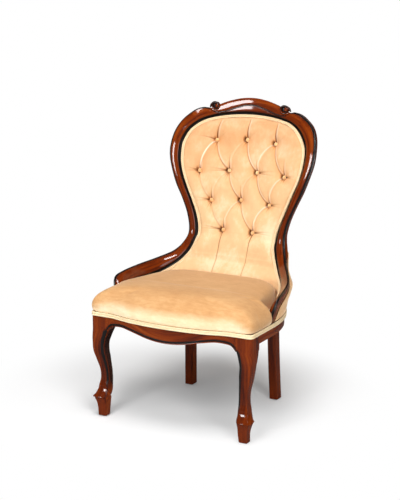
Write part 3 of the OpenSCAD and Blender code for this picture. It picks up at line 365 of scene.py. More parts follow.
# The seat's plan, the front rail's bow and its drop: share of half the width, and share of the other
plan_rows = [[0, 1.025], [0.15, 1.024], [0.3, 1.02], [0.42, 1.016], [0.5, 1.012], [0.58, 1.005], [0.625, 0.99],
             [0.66, 0.96], [0.7, 0.917], [0.745, 0.86], [0.79, 0.805], [0.844, 0.745], [0.9, 0.665], [0.94, 0.595],
             [0.975, 0.5], [0.995, 0.4], [1, 0.325]]
bow_rows = [[0, 1], [0.12, 0.985], [0.23, 0.94], [0.33, 0.885], [0.43, 0.8], [0.54, 0.69], [0.64, 0.53],
            [0.73, 0.34], [0.81, 0.18], [0.9, 0.05], [1, 0]]
drop_rows = [[0, 1], [0.14, 0.93], [0.27, 0.77], [0.36, 0.61], [0.445, 0.43], [0.52, 0.27], [0.59, 0.15],
             [0.66, 0.05], [0.73, 0], [0.83, 0.07], [0.92, 0.23], [0.96, 0.5], [1, 1]]
# The front leg from the floor up: share of its height, its middle sideways and in depth, its width
leg_rows = [[0, 0, 0, 0.54], [0.09, -0.07, -0.07, 0.59], [0.15, 0, -0.05, 0.66], [0.2, 0.12, -0.13, 0.77],
            [0.212, 0.16, -0.16, 0.775], [0.226, 0.3, -0.3, 0.85], [0.25, 0.05, -0.05, 0.79],
            [0.304, -0.15, 0.4, 0.69], [0.357, -0.23, 0.52, 0.64], [0.41, -0.33, 0.68, 0.58],
            [0.464, -0.35, 0.68, 0.556], [0.518, -0.3, 0.63, 0.562], [0.571, -0.17, 0.51, 0.59],
            [0.625, 0.03, 0.38, 0.644], [0.679, 0.22, 0.25, 0.7], [0.732, 0.4, 0.07, 0.742],
            [0.786, 0.53, 0.05, 0.77], [0.839, 0.57, 0.15, 0.796], [0.893, 0.5, 0.333, 0.88],
            [0.946, 0.36, 0.547, 0.965]]


def height(s):
    s = np.asarray(s, float)
    return WAIST + s * np.where(s < 0, WAIST - RAIL_TOP, CHAIR_H - WAIST)


def share_of(z):
    z = np.asarray(z, float)
    return (z - WAIST) / np.where(z < WAIST, WAIST - RAIL_TOP, CHAIR_H - WAIST)


def rows_to_edge(*groups):
    rows = np.array([r for g in groups for r in g])
    points = np.stack([rows[:, 0] * HALF_W, rows[:, 1] * SEAT_D, height(rows[:, 2])], 1)
    return spline(np.concatenate([points, points[-2:-1] * [-1, 1, 1]]), ROW_STEPS)[:-ROW_STEPS]


outer = rows_to_edge(sweep_outer, stile_outer, crest_outer)
inner = rows_to_edge(sweep_inner, stile_inner, crest_inner)
SWEEP_END = (len(sweep_outer) - 1) * ROW_STEPS
STILE_END = SWEEP_END + len(stile_outer) * ROW_STEPS
FRAME_END = len(outer) - 1
SHOULDER = STILE_END - ROW_STEPS
square_back = [[0, 1, 0]] * (len(stile_outer) + len(crest_outer))
outer_back = outer + spline(sweep_outer_back + square_back, ROW_STEPS) * WOOD_T
inner_back = inner + spline(sweep_inner_back + square_back, ROW_STEPS) * WOOD_T
across = unit(outer - inner)
ease = np.clip(1 + (np.arange(FRAME_END + 1) - SHOULDER) / SHOULDER * 4, 0, 1)[:, None]
outer_back = outer_back - across * ease * 0.2 * WOOD_T
middle_line = (outer + inner) / 2
run = np.gradient(middle_line, axis=0)
run[-1] = (-1, 0, 0)
run = unit(run)
face = unit(np.cross(outer - inner, run))

# The carved line under the crest's hood: distance from the middle, and height
hood_line = np.array([[0, 927], [25, 924.5], [59, 914], [91, 903], [112, 899.5], [125, 901], [140, 908], [160, 915]])
HOOD_FROM, HOOD_TO = 136, 150
LINE_HALF, LINE_DEEP, LINE_SHARE = 2.3, 2.6, 0.25
FACE_LIFT, EDGE_LIFT = 0.7, 0.9


def frame_ring(i):
    """One section of the back frame: inner wall, ebonised cove, face, ebonised edge, side, back."""
    at, a, f = inner[i], across[i], face[i]
    w = np.linalg.norm(outer[i] - inner[i])
    hood = float(1 - smooth(abs(outer[i][0]), HOOD_FROM, HOOD_TO)) if i > STILE_END else 0.0
    plain = 1 - hood
    swell = SWELL * (1 - 0.75 * float(smooth(i, STILE_END - 6, STILE_END + 12)))
    groove = w - EDGE_COVE
    # where the carved line crosses the section is settled in a few rounds
    for _ in range(4 if hood else 0):
        line_z = np.interp(abs(at[0] + a[0] * groove), hood_line[:, 0], hood_line[:, 1])
        groove = np.clip((line_z - at[2]) / max(a[2], 0.3), COVE + 4, w - 5)
    points, ebony_and_shade = [], []

    def add(u, v, tone):
        points.append(at + a * u + f * v)
        ebony_and_shade.append(tone)

    def walk(start, end, *steps):
        for share, tone in steps:
            points.append(start + (end - start) * share)
            ebony_and_shade.append(tone)

    walk(inner_back[i], at - f * COVE, (0.08, 0.9), (0.5, 0.9), (0.95, 0.9))
    for q in np.radians(np.linspace(0, 90, 9)):
        add(COVE * sin(q), -COVE * cos(q), 1.0)
    add(COVE + 0.4, 0.45, 0.6)
    face_from = COVE + 1.1
    add(face_from, FACE_LIFT, 0.0)
    broad = (w - EDGE_COVE) * plain + (groove - LINE_HALF) * hood - face_from
    for s in np.linspace(0.05, 1, 14):
        # the face is darker towards both of its edges
        edge_darkening = 0.42 * (exp(-s * broad / 3.2) + exp(-(1 - s) * broad / 2.2))
        add(face_from + broad * s, FACE_LIFT + swell * sin(pi * (0.08 + 0.92 * s)) ** 0.9 + 0.2 * s, edge_darkening)
    for q in np.linspace(0.04, 1, 18):
        turn = radians(90 * q)
        rounded = np.array([w - EDGE_COVE * cos(turn), EDGE_LIFT - EDGE_COVE * sin(turn)])
        s, tone = q / LINE_SHARE, 0.0
        if s < 1:
            carved = np.array([groove - LINE_HALF + 2 * LINE_HALF * s, EDGE_LIFT - LINE_DEEP * sin(pi * s)])
            tone = sin(pi * s) ** 0.5
        else:
            s = (q - LINE_SHARE) / (1 - LINE_SHARE)
            carved = np.array([groove + LINE_HALF + (w - groove - LINE_HALF) * s ** 0.9,
                               EDGE_LIFT * (1 - s ** 5) + 2.2 * min(1, s / 0.12) ** 0.5 * (1 - s ** 4) - 3 * s ** 8])
        add(*(rounded * plain + carved * hood), plain + tone * hood)
    walk(points[-1], outer_back[i], (0.06, 0.8 * plain), (0.14, 0), (0.5, 0), (0.9, 0))
    walk(outer_back[i], inner_back[i], (0.05, 0.3), (0.5, 0.3), (0.95, 0.3))
    ring = np.array(points)
    ring[:, 2] = np.maximum(ring[:, 2], RAIL_TOP)
    return ring, ebony_and_shade


frame_rings, frame_tones = zip(*[frame_ring(i) for i in range(FRAME_END + 1)])


def member(name, first, last, mirror):
    rings, tones = list(frame_rings[first:last + 1]), list(frame_tones[first:last + 1])
    # each joint shows as a fine line, because the ends are eased
    for end, near in ((0, 1), (-1, -2)):
        centre = rings[end].mean(0)
        rings[end] = rings[end] + (rings[near] - rings[end]) * 0.08
        eased = centre + (rings[end] - centre) * 0.985 + (rings[end].mean(0) - rings[near].mean(0)) * 0.06
        rings.insert(0 if end == 0 else len(rings), eased)
        tones.insert(0 if end == 0 else len(tones), tones[end])
    return loft(name, rings, polished, {"ebony_and_shade": tones}, mirror=mirror)


for side, mirror in SIDES:
    finish_piece(member("carved_sweep_" + side, 0, SWEEP_END, mirror), "show_wood", "side_sweep_" + side)
    finish_piece(member("carved_stile_" + side, SWEEP_END, STILE_END, mirror), "show_wood", "back_stile_" + side)

# ---------------------------------------------------------------- crest rail with its two scrolls
OUT_FRONT = np.array([0, -1.0, 0])
SCROLL_AT = np.array([123.0, 500.0, 920.0])
SCROLL_R, EYE_R, BALL_RINGS = 12.8, 6.6, 13


def ball(centre, radius, depth=1.0):
    """Rings of a ball, from its back pole to its front."""
    q, a = np.linspace(0, pi, BALL_RINGS)[:, None], np.linspace(0, 2 * pi, 28, endpoint=False)
    return centre + radius * np.stack([np.sin(q) * np.cos(a), depth * np.cos(q) + 0 * a, np.sin(q) * np.sin(a)], -1)


def roll(path, radii, depth):
    """Rings of a tapered roll along a path that lies on the front."""
    side = unit(np.cross(unit(np.gradient(path, axis=0)), OUT_FRONT))
    a = np.linspace(0, 2 * pi, 14, endpoint=False)
    return np.array([p + r * (np.outer(np.cos(a), s) + np.outer(np.sin(a) * depth, OUT_FRONT))
                     for p, s, r in zip(path, side, radii)])


crest_half, half_tones = np.array(frame_rings[STILE_END:]), np.array(frame_tones[STILE_END:])
crest_rings = np.concatenate([crest_half, crest_half[-2::-1] * [-1, 1, 1]])
parts = [loft("crest_body", crest_rings, polished, {"ebony_and_shade": np.concatenate([half_tones, half_tones[-2::-1]])})]
turn = np.linspace(radians(40), radians(400), 90)
reach = np.linspace(SCROLL_R, 10.6, 90)
round_eye = np.stack([np.cos(turn) * reach, np.full(90, -1.5), np.sin(turn) * reach], 1)
s = np.linspace(0, 1, 24)
down_leaf = np.stack([8 + 13 * s, 2 + 2 * s, 8.5 - 14 * s ** 1.6], 1)
for side in (1, -1):
    # the roll is painted dark as shade, and is bare wood only where the light falls on it, low on its left
    lit = np.exp(-(((np.degrees(turn) if side == 1 else 180 - np.degrees(turn)) % 360 - 225) / 50) ** 2)
    for name, rings, ebony_and_shade in (
            ("scroll_eye", ball([side * 7.0, -1.5, 1.5], EYE_R), np.zeros(BALL_RINGS)),
            ("scroll_ground", ball([0, 9, 0], SCROLL_R, 0.9), smooth(np.arange(BALL_RINGS), 6, 8)),
            ("scroll_roll", roll(round_eye, np.linspace(2.9, 1.7, 90), 1.5), 0.9 * (1 - lit)),
            ("scroll_leaf", roll(down_leaf, 1.2 + 3.2 * np.sin(pi * (0.12 + 0.8 * s)), 1.1), 0.5 + 0.5 * s)):
        tone = np.repeat(ebony_and_shade, rings.shape[1])
        parts.append(loft(name, (SCROLL_AT + rings) * [side, 1, 1], polished, {"ebony_and_shade": tone}))
finish_piece(join("carved_crest_rail", parts), "show_wood", "crest_rail")

# ---------------------------------------------------------------- legs
BLOCK_W, BLOCK_H, FOOT_X, SWAY, GLIDE_H = 50.0, 50.0, 244.0, 15.0, 3.0
BLOCK_X, BLOCK_Y = HALF_W - BLOCK_W / 2, SWAY * 2 / 3
BLOCK_LOW = RAIL_TOP - BLOCK_H
RAIL_IN_X = HALF_W - BLOCK_W
QUARTERS = (0.25, 0.5, 0.75)
BAND_STEPS = (0.05, 0.13, 0.17, 0.6)
PROUD_X, PROUD_Y = 3.0, 0.6
TOE_AT = 0.25


def square_ring(at, w, d, corners, bulge=0.02, front=QUARTERS):
    """A rounded square: its corner radii go inner front, outer front, outer back, inner back."""
    arcs = []
    for (sx, sy, start), r in zip(((-1, -1, 180), (1, -1, 270), (1, 1, 0), (-1, 1, 90)), corners):
        q = np.radians(np.linspace(start, start + 90, 7))
        arcs.append(np.stack([sx * (w / 2 - r) + r * np.cos(q), sy * (d / 2 - r) + r * np.sin(q)], 1))
    ring = []
    for k, arc in enumerate(arcs):
        a, b = arc[-1], arcs[(k + 1) % 4][0]
        normal = unit([b[1] - a[1], a[0] - b[0]])
        ring += list(arc) + [a * (1 - s) + b * s + normal * bulge * w * 4 * s * (1 - s)
                             for s in (QUARTERS if k else front)]
    return np.array([[p[0], p[1], 0] for p in ring]) + at


# the ebonised band covers the front's inner edge and the inner corner; the inner side and the inner back corner are
# painted dark as shade
band_and_shade = np.zeros(41)
band_and_shade[:2], band_and_shade[2:9], band_and_shade[31:] = 0.2, 1, 0.85
leg_rings, leg_tones = [], []
for s, px, py, pw in spline(leg_rows + [[1, 0.167, 0.73, 1.05], [1.05, 0.167, 0.73, 1.05]], 6)[:-7]:
    w = pw * BLOCK_W
    toe = exp(-((s - TOE_AT) / 0.05) ** 2)
    at = [FOOT_X + px * SWAY, py * SWAY, GLIDE_H + s * (BLOCK_LOW - GLIDE_H)]
    leg_rings.append(square_ring(at, w, w, (w * 0.12, w * 0.06, w * 0.16, w * 0.12), 0.02 + 0.07 * toe, BAND_STEPS))
    leg_tones.append(band_and_shade * smooth(s, 0.28, 0.42))
for up in np.linspace(0, 1, 7):
    at = [BLOCK_X + PROUD_X / 2, BLOCK_Y - PROUD_Y / 2, BLOCK_LOW + up * (BLOCK_H - 1.5)]
    leg_rings.append(square_ring(at, BLOCK_W + PROUD_X, BLOCK_W + PROUD_Y, (1.0, 4, 2.5, 1.6), 0.004, BAND_STEPS))
    curl = band_and_shade * (up < 0.2)
    curl[7:9] *= up < 0.1
    leg_tones.append(curl)
leg_rings.append(square_ring([BLOCK_X, BLOCK_Y, RAIL_TOP], BLOCK_W - 1, BLOCK_W - 1, (1.2, 4, 1.5, 1.2), 0.004,
                             BAND_STEPS))
leg_tones.append(band_and_shade * 0)

REAR_W, REAR_D, HEAD_X, RAKE, SPLAY, RAIL_H, RAIL_T = 28.0, 34.0, 150.0, 11.0, 6.0, 36.0, 24.0
REAR_ROUND = (3.5,) * 4
HEAD_Y = SEAT_D - REAR_D / 2
RAIL_LOW = RAIL_TOP - RAIL_H
POST_TOP = np.array([middle_line[SWEEP_END][0] - REAR_W * 0.4, outer_back[SWEEP_END][1] - REAR_D / 4,
                     inner_back[SWEEP_END][2] - WOOD_T * 0.8])
rear_rings = []
for s in np.linspace(0, 1, 30):
    out = (1 - s) ** 1.6
    at = [HEAD_X + SPLAY * out, HEAD_Y + RAKE * out, GLIDE_H + s * (RAIL_LOW - GLIDE_H)]
    rear_rings.append(square_ring(at, REAR_W, REAR_D, REAR_ROUND, 0.01))
rear_rings.append(square_ring([HEAD_X, HEAD_Y, RAIL_TOP - 0.5], REAR_W, REAR_D, REAR_ROUND, 0.01))
post_foot = np.array([HEAD_X - REAR_W * 0.1, HEAD_Y - REAR_D * 0.1, RAIL_TOP])
for s in np.linspace(0, 1, 6):
    at = post_foot * (1 - s) + POST_TOP * s
    rear_rings.append(square_ring(at, REAR_W * 0.8, REAR_D * (0.75 - 0.25 * s), (3,) * 4, 0))
for name, node, rings, tones in (("carved_front_leg_", "front_leg_", leg_rings, {"ebony_and_shade": leg_tones}),
                                 ("raked_rear_leg_", "rear_leg_", rear_rings, None)):
    for side, mirror in SIDES:
        finish_piece(loft(name + side, rings, polished, tones, mirror=mirror), "show_wood", node + side)

# ---------------------------------------------------------------- seat frame
FRONT_T, BOW, DROP = 28.0, 30.0, 22.0
ARCH_Z = RAIL_TOP - FRONT_T * 1.1
BLOCK_FRONT, BLOCK_BACK = BLOCK_Y - BLOCK_W / 2, BLOCK_Y + BLOCK_W / 2
BAND, BEAD = 5.0, 3.0
bow = np.array(bow_rows) * [RAIL_IN_X, -BOW] + [0, BLOCK_FRONT]
bow_curve = spline(bow, ROW_STEPS)
drop_curve = spline(np.array(drop_rows) * [RAIL_IN_X, -DROP] + [0, ARCH_Z], ROW_STEPS)


def bow_y(x):
    return np.interp(np.abs(x), bow_curve[:, 0], bow_curve[:, 1])


def arch_z(x):
    return np.interp(np.abs(x), drop_curve[:, 0], drop_curve[:, 1])


def plan_line(inset):
    points = spline(np.array(plan_rows) * [HALF_W, SEAT_D], 6)
    way = unit(np.gradient(points, axis=0))
    way[0], way[-1] = (1, 0), (0, -1)
    return points + np.stack([way[:, 1], -way[:, 0]], 1) * inset


outer_line, inner_line = plan_line(0), plan_line(RAIL_T)


def plan_y(x, line=outer_line):
    return np.interp(np.abs(x), line[:, 0], line[:, 1])


rings, tones = [], []
for x in np.linspace(-RAIL_IN_X + 0.1, RAIL_IN_X - 0.1, 129):
    y, low = float(bow_y(x)), float(arch_z(x))
    band_top = low + BEAD + BAND * min(2.6, hypot(1, arch_z(abs(x) + 0.5) - arch_z(abs(x) - 0.5)))
    face_low = band_top + 1.8
    # each point's depth behind the face, its height, and how far it is ebonised
    profile = [(FRONT_T, RAIL_TOP - 0.5, 0), (FRONT_T, low + 1, 0), (FRONT_T * 0.5, low, 0)]
    profile += [(BEAD * 0.9 - 1.2 * cos(q) - 1, low + 1.5 - 1.5 * sin(q), 0)
                for q in np.radians(np.linspace(120, -80, 9))]
    profile += [(1.1, low + BEAD + 0.3, 1), (1.1, low + BEAD + 0.9, 1), (0.3, low + BEAD + 1.6, 1),
                (0.2, band_top, 1), (1.0, band_top + 0.8, 0.9), (0.1, face_low, 0.35)]
    profile += [(-0.3 * sin(pi * s), face_low + (RAIL_TOP - 1.5 - face_low) * s, 0) for s in np.linspace(0.08, 1, 10)]
    profile += [(1.2, RAIL_TOP - 0.5, 0)]
    rings.append([[x, y + back, z] for back, z, tone in profile])
    tones.append([tone for back, z, tone in profile])
finish_piece(loft("bowed_front_rail", rings, polished, {"ebony_and_shade": tones}), "show_wood", "front_seat_rail")


def evenly(points):
    """The same line with 60 points, evenly spaced."""
    points = np.array(points)
    far = length_along(points)
    at = np.linspace(0, 1, 60) * far[-1]
    return np.stack([np.interp(at, far, points[:, k]) for k in (0, 1)], 1)


end_x = HEAD_X + REAR_W / 2 + 0.3
out_run, in_run = (evenly([[start_x, BLOCK_BACK]] + [p for p in line[::-1] if p[0] > end_x]
                          + [[end_x, plan_y(end_x, line)]])
                   for start_x, line in ((HALF_W, outer_line), (HALF_W - RAIL_T, inner_line)))
# each point's share of the rail's thickness, and its height
side_profile = ((0, RAIL_TOP - 1.2), (0.03, RAIL_TOP - 0.4), (0.97, RAIL_TOP - 0.4), (1, RAIL_TOP - 1.2),
                (1, RAIL_LOW + 1.2), (0.96, RAIL_LOW + 0.3), (0.12, RAIL_LOW + 0.3), (0.04, RAIL_LOW + 0.9),
                (0, RAIL_LOW + 2.6), (-0.01, RAIL_LOW + RAIL_H / 2))
rings = [[[*(o + (p - o) * share), z] for share, z in side_profile] for o, p in zip(out_run, in_run)]
for side, mirror in SIDES:
    finish_piece(loft("curved_side_rail_" + side, rings, polished, mirror=mirror), "show_wood",
                 "side_seat_rail_" + side)


def mesh_points(mesh):
    points = np.empty(len(mesh.vertices) * 3, np.float32)
    mesh.vertices.foreach_get("co", points)
    return points.reshape(-1, 3).astype(float)


def evaluated_mesh(piece):
    bpy.context.view_layer.update()
    return bpy.data.meshes.new_from_object(piece.evaluated_get(bpy.context.evaluated_depsgraph_get()))


def plump(piece, voxel_mm, pressure, cap_mm, stiffness=15, steps=20):
    """Lets a padded piece swell as cloth under pressure, up to a cap, and reads its tones again."""
    source = piece.data
    lookup = kdtree.KDTree(len(source.vertices))
    for k, point in enumerate(mesh_points(source)):
        lookup.insert(point, k)
    lookup.balance()
    tones = {tone: np.empty(len(source.vertices), np.float32) for tone in ("shaded_top", "hold")}
    for tone, values in tones.items():
        source.attributes[tone].data.foreach_get("value", values)

    def read_tones(points):
        around = [lookup.find_n(point, 4) for point in points]
        which = np.array([[spot[1] for spot in spots] for spots in around])
        weight = 1 / (np.array([[spot[2] for spot in spots] for spots in around]) + MM)
        weight /= weight.sum(1, keepdims=True)
        return {tone: (values[which] * weight).sum(1) for tone, values in tones.items()}

    even = piece.modifiers.new("even_mesh", "REMESH")
    even.mode, even.voxel_size = "VOXEL", voxel_mm * MM
    piece.data = evaluated_mesh(piece)
    piece.modifiers.clear()
    before = mesh_points(piece.data)
    held = piece.vertex_groups.new(name="held")
    for k, value in enumerate(read_tones(before)["hold"]):
        held.add([k], float(value), "REPLACE")
    settings = piece.modifiers.new("swell", "CLOTH").settings
    settings.use_pressure, settings.uniform_pressure_force = True, pressure
    settings.vertex_group_mass = "held"
    settings.effector_weights.gravity = 0
    settings.tension_stiffness = settings.compression_stiffness = stiffness
    for step in range(1, steps + 1):
        bpy.context.scene.frame_set(step)
    move = mesh_points(evaluated_mesh(piece)) - before
    piece.modifiers.clear()
    bpy.context.scene.frame_set(1)
    far = np.linalg.norm(move, axis=1, keepdims=True)
    cap = cap_mm * MM
    points = before + move / np.maximum(far, 1e-9) * cap * np.tanh(far / cap)
    piece.data.vertices.foreach_set("co", points.astype(np.float32).ravel())
    piece.vertex_groups.clear()
    finer = piece.modifiers.new("finer", "SUBSURF")
    finer.levels = finer.render_levels = 1
    piece.data = mesh = evaluated_mesh(piece)
    piece.modifiers.clear()
    set_tone(mesh, "shaded_top", read_tones(mesh_points(mesh))["shaded_top"])
    mesh.materials.clear()
    mesh.materials.append(source.materials[0])
    shade_smooth(mesh)
    mesh.update()


# ---------------------------------------------------------------- seat cushion
GAP, WELT_H, WELT_T = 0.3, 15.0, 6.0
CUSHION_Z, CROWN_Z = 336.3, 420.0
PIPE_ROOM, LINING_ROOM = 9.6, 6.3
PAST_RAIL = 1.5


def pad_edge(i):
    sink = 1.2 * max(0, 1 - i / SWEEP_END)
    way = unit(across[i] + np.array([0, 0, sink]))
    return inner[i] - way * PIPE_ROOM * (1 + sink / 6) - face[i] * COVE / 2


pad_line = np.array([pad_edge(i) for i in range(0, FRAME_END + 1)])
lower_edge = pad_line[:SHOULDER + 1]
shoulder_z = lower_edge[-1][2]
back_curve = spline([[height(r[0]), r[1] * SEAT_D] for r in back_line], 4)
turn_table = np.array(back_turn)


def edge_x(z):
    return np.interp(z, lower_edge[:, 2], lower_edge[:, 0])


def edge_y(z):
    return np.interp(z, lower_edge[:, 2], lower_edge[:, 1])


def back_mid_y(z):
    return np.interp(z, back_curve[:, 0], back_curve[:, 1])


def hollow_y(x, z):
    """Depth of the hollow that the padding of the back lies on."""
    level = np.minimum(z, shoulder_z)
    drop = back_mid_y(level) - edge_y(level)
    power = np.interp(share_of(z), turn_table[:, 0], turn_table[:, 1])
    return back_mid_y(z) - drop * np.power(np.clip(np.abs(x) / edge_x(level), 0, 1.2), power)


def whole(half):
    """A closed outline from its right half, which starts and ends on the middle."""
    return np.concatenate([half, (half * [-1, 1])[-2:0:-1]])


def near_mean(apart, reach):
    """Weights that even out values over a reach in millimetres."""
    weights = np.exp(-(apart / reach) ** 2)
    return weights / weights.sum(1, keepdims=True)


frame_turn_y = plan_rows[-1][1] * SEAT_D
lining_x = float(edge_x(CUSHION_Z)) - LINING_ROOM
lining_y = float(back_mid_y(CUSHION_Z)) - LINING_ROOM
lining_turn_y = outer[0][1] + WOOD_T / 2
back_lean = (float(back_mid_y(height(-0.4))) - float(back_mid_y(CUSHION_Z))) / (float(height(-0.4)) - CUSHION_Z)
notch_y = outer[0][1] - GAP * 4
side_x = HALF_W + PAST_RAIL
front_plan = spline([[x, y - WELT_T] for x, y in bow]
                    + [[HALF_W - BLOCK_W * 0.25, BLOCK_FRONT - WELT_T / 2], [HALF_W - 2, BLOCK_FRONT + WELT_T],
                       [side_x, BLOCK_Y], [side_x, BLOCK_BACK], [side_x, notch_y - 20], [side_x, notch_y]], 5)
side_in = [[side_x + (lining_x - side_x) * s, notch_y + 1.5 * s] for s in np.linspace(0.15, 1, 7)]
tub = [[lining_x * s, lining_y - (lining_y - lining_turn_y) * s ** 8] for s in 1 - np.linspace(0.03, 1, 40) ** 1.6]
seat_plan = whole(np.concatenate([front_plan, side_in, tub]))
in_tub = np.concatenate([np.zeros(len(front_plan)), np.linspace(0.3, 1, len(side_in)), np.ones(len(tub))])
in_tub = np.concatenate([in_tub, in_tub[-2:0:-1]])
# share of the plan's reach, and share of the cushion's height
seat_rows = spline([[0.93, 0], [0.97, -0.004], [0.995, -0.016], [1.01, 0.012], [1.022, 0.08], [1.03, 0.2],
                    [1.02, 0.38], [0.99, 0.54], [0.95, 0.66], [0.89, 0.775], [0.8, 0.87], [0.66, 0.94],
                    [0.45, 0.985], [0.22, 1], [0.03, 1.004]], 6)
SEAT_CENTRE = np.array([0, frame_turn_y * 0.8])
apart = np.linalg.norm(seat_plan[:, None] - seat_plan[None], axis=2)
near = near_mean(apart, 40)
soft_plan = near @ seat_plan
soft_tub = np.minimum(1, 1.7 * near_mean(apart, 75) @ in_tub)
rings = []
for share, level in seat_rows:
    # the step round the frame's feet melts away towards the crown
    crisp = float(smooth(share, 0.8, 0.98))
    plan = seat_plan * crisp + soft_plan * (1 - crisp)
    tub_like = in_tub * crisp + soft_tub * (1 - crisp)
    k = np.where(tub_like > 0.001, 1 - (1 - min(share, 1)) ** (1 + 0.6 * tub_like), min(share, 1.03))
    q = SEAT_CENTRE + (plan - SEAT_CENTRE) * k[:, None]
    rise = (CROWN_Z - CUSHION_Z) * level
    lean = np.maximum(0, (plan[:, 1] - SEAT_CENTRE[1]) / (lining_y - SEAT_CENTRE[1])) * back_lean * k
    rings.append(np.stack([q[:, 0], q[:, 1] + rise * lean, np.full(len(q), CUSHION_Z + rise)], 1))
# the painted shade of the top, which gets less light than the front, reaches down the sides more than down the front
plan_way = unit(np.roll(seat_plan, -1, 0) - np.roll(seat_plan, 1, 0))
sideways = near @ smooth(np.abs(plan_way[:, 1]), 0.25, 0.9)
levels = seat_rows[:, 1:]
shaded_top = smooth(np.maximum(levels, 0) + 0.6 * in_tub + 0.5 * sideways, 0.16, 0.62)
hold = np.maximum(1 - smooth(levels, 0.02, 0.3), 0.75 * in_tub)
seat = loft("sprung_seat_cushion", rings, seat_velvet, {"shaded_top": shaded_top, "hold": hold}, crease_deg=0)
plump(seat, voxel_mm=5.0, pressure=4.0, cap_mm=5.0)
finish_piece(seat, "velvet", "seat_cushion")

# ---------------------------------------------------------------- buttoned back
PAD_SWELL, TUFT, PAD_T, PAD_EDGE_T, BUTTON_R = 15.0, 19.0, 20.0, 4.0, 6.6
# neighbouring buttons are nearer than this, so a fold runs between them
LINK = 128.0
side_buttons = [[0.389, 0.724], [0.559, 0.528], [0.185, 0.537], [0.385, 0.342], [0.195, 0.16]]
middle_buttons = [[0, 0.736], [0, 0.356]]
buttons = np.array([[s * x * HALF_W, float(height(z))] for x, z in side_buttons for s in (-1, 1)]
                   + [[0, float(height(z))] for x, z in middle_buttons])
dice = np.random.default_rng(7)


def hollow_normal(x, z):
    d = 0.5
    return unit(np.stack([hollow_y(x - d, z) - hollow_y(x + d, z), np.full(np.shape(x), 2 * d),
                          hollow_y(x, z - d) - hollow_y(x, z + d)], -1))


def bend(a, c, b, n=8):
    """Points of a soft bend from a to b, drawn towards c."""
    a, c, b = (np.asarray(p, float) for p in (a, c, b))
    q = np.linspace(0, 1, n)[:, None]
    return a * (1 - q) ** 2 + c * 2 * q * (1 - q) + b * q ** 2


def nearest(x, z, line):
    """Share along a bent line, and the signed distance from it: positive on its right going up."""
    a, way = line[:-1], np.diff(line, axis=0)
    dx, dz = x[:, None] - a[:, 0], z[:, None] - a[:, 1]
    q = np.clip((dx * way[:, 0] + dz * way[:, 1]) / (way ** 2).sum(1), 0, 1)
    gx, gz = dx - q * way[:, 0], dz - q * way[:, 1]
    far = np.hypot(gx, gz)
    k = far.argmin(1)
    row = np.arange(len(x))
    side = np.sign(way[k, 1] * gx[row, k] - way[k, 0] * gz[row, k] + 1e-9)
    return (k + q[row, k]) / len(a), far[row, k] * side


# Folds of the cloth, each a line from its lower end up and its kind. The folds that fall to the
# right are sharp and painted dark as shade, the others are soft rolls. A number is the depth of a small gather.
folds_made = []
for a in buttons:
    for b in buttons:
        if b[1] - a[1] > BUTTON_R * 2 and np.linalg.norm(b - a) < LINK:
            sharp = b[0] < a[0]
            folds_made.append((bend(a, a + (b - a) * ((0.88, 0.36) if sharp else (0.14, 0.72)), b),
                               "sharp" if sharp else "soft"))
# short gathers below and beside a button: direction in degrees, length, depth
GATHERS = ((-98, 38, 3.4), (-80, 24, 2.2), (-116, 34, 3.2), (-136, 32, 2.4), (176, 26, 1.8), (8, 20, 1.5),
           (146, 20, 1.5))
for b in buttons:
    if b[1] > height(0.7):
        folds_made.append((bend(b, b + [-1, 50], [b[0] * 0.92 + 7, b[1] + 88]), "rim"))
    else:
        tip = b + [1.5 + dice.uniform(-2, 2), dice.uniform(44, 58)]
        folds_made.append((bend(b, b + [-1.5, 25], tip), "spike"))
    if b[1] < height(0.2):
        folds_made.append((bend([b[0] - 3, RAIL_TOP], [b[0] - 6, b[1] * 0.45 + RAIL_TOP * 0.55], b), "seat"))
    for deg, length, deep in GATHERS:
        turn = radians(deg + dice.uniform(-10, 10))
        tip = b + length * dice.uniform(0.7, 1.2) * np.array([cos(turn), sin(turn)])
        folds_made.append((bend(b, (b + tip) / 2 + dice.uniform(-2, 2, 2), tip, 4), deep * dice.uniform(0.6, 1.1)))
    if b[0] < -60 and b[1] > height(0.7):
        folds_made.append((bend(b, b + [-34, 12], b + [-74, 13], 5), 3.2))
    if abs(b[0]) > 45 and b[1] < height(0.7):
        for rise in (9, -4):
            tip = b + [np.sign(b[0]) * (60 if abs(b[0]) > 90 else 85), rise + dice.uniform(-3, 3)]
            folds_made.append((bend(b, (b + tip) / 2 + [0, 2.5], tip, 5), 2.6))


def hill(d, width):
    """1 on a line, and nothing a few widths away."""
    return np.exp(-(d / width) ** 2)


def fall(d, right, left):
    """1 on a line, falling away on each side at its own pace."""
    return np.exp(-np.abs(d) / np.where(d > 0, right, left))


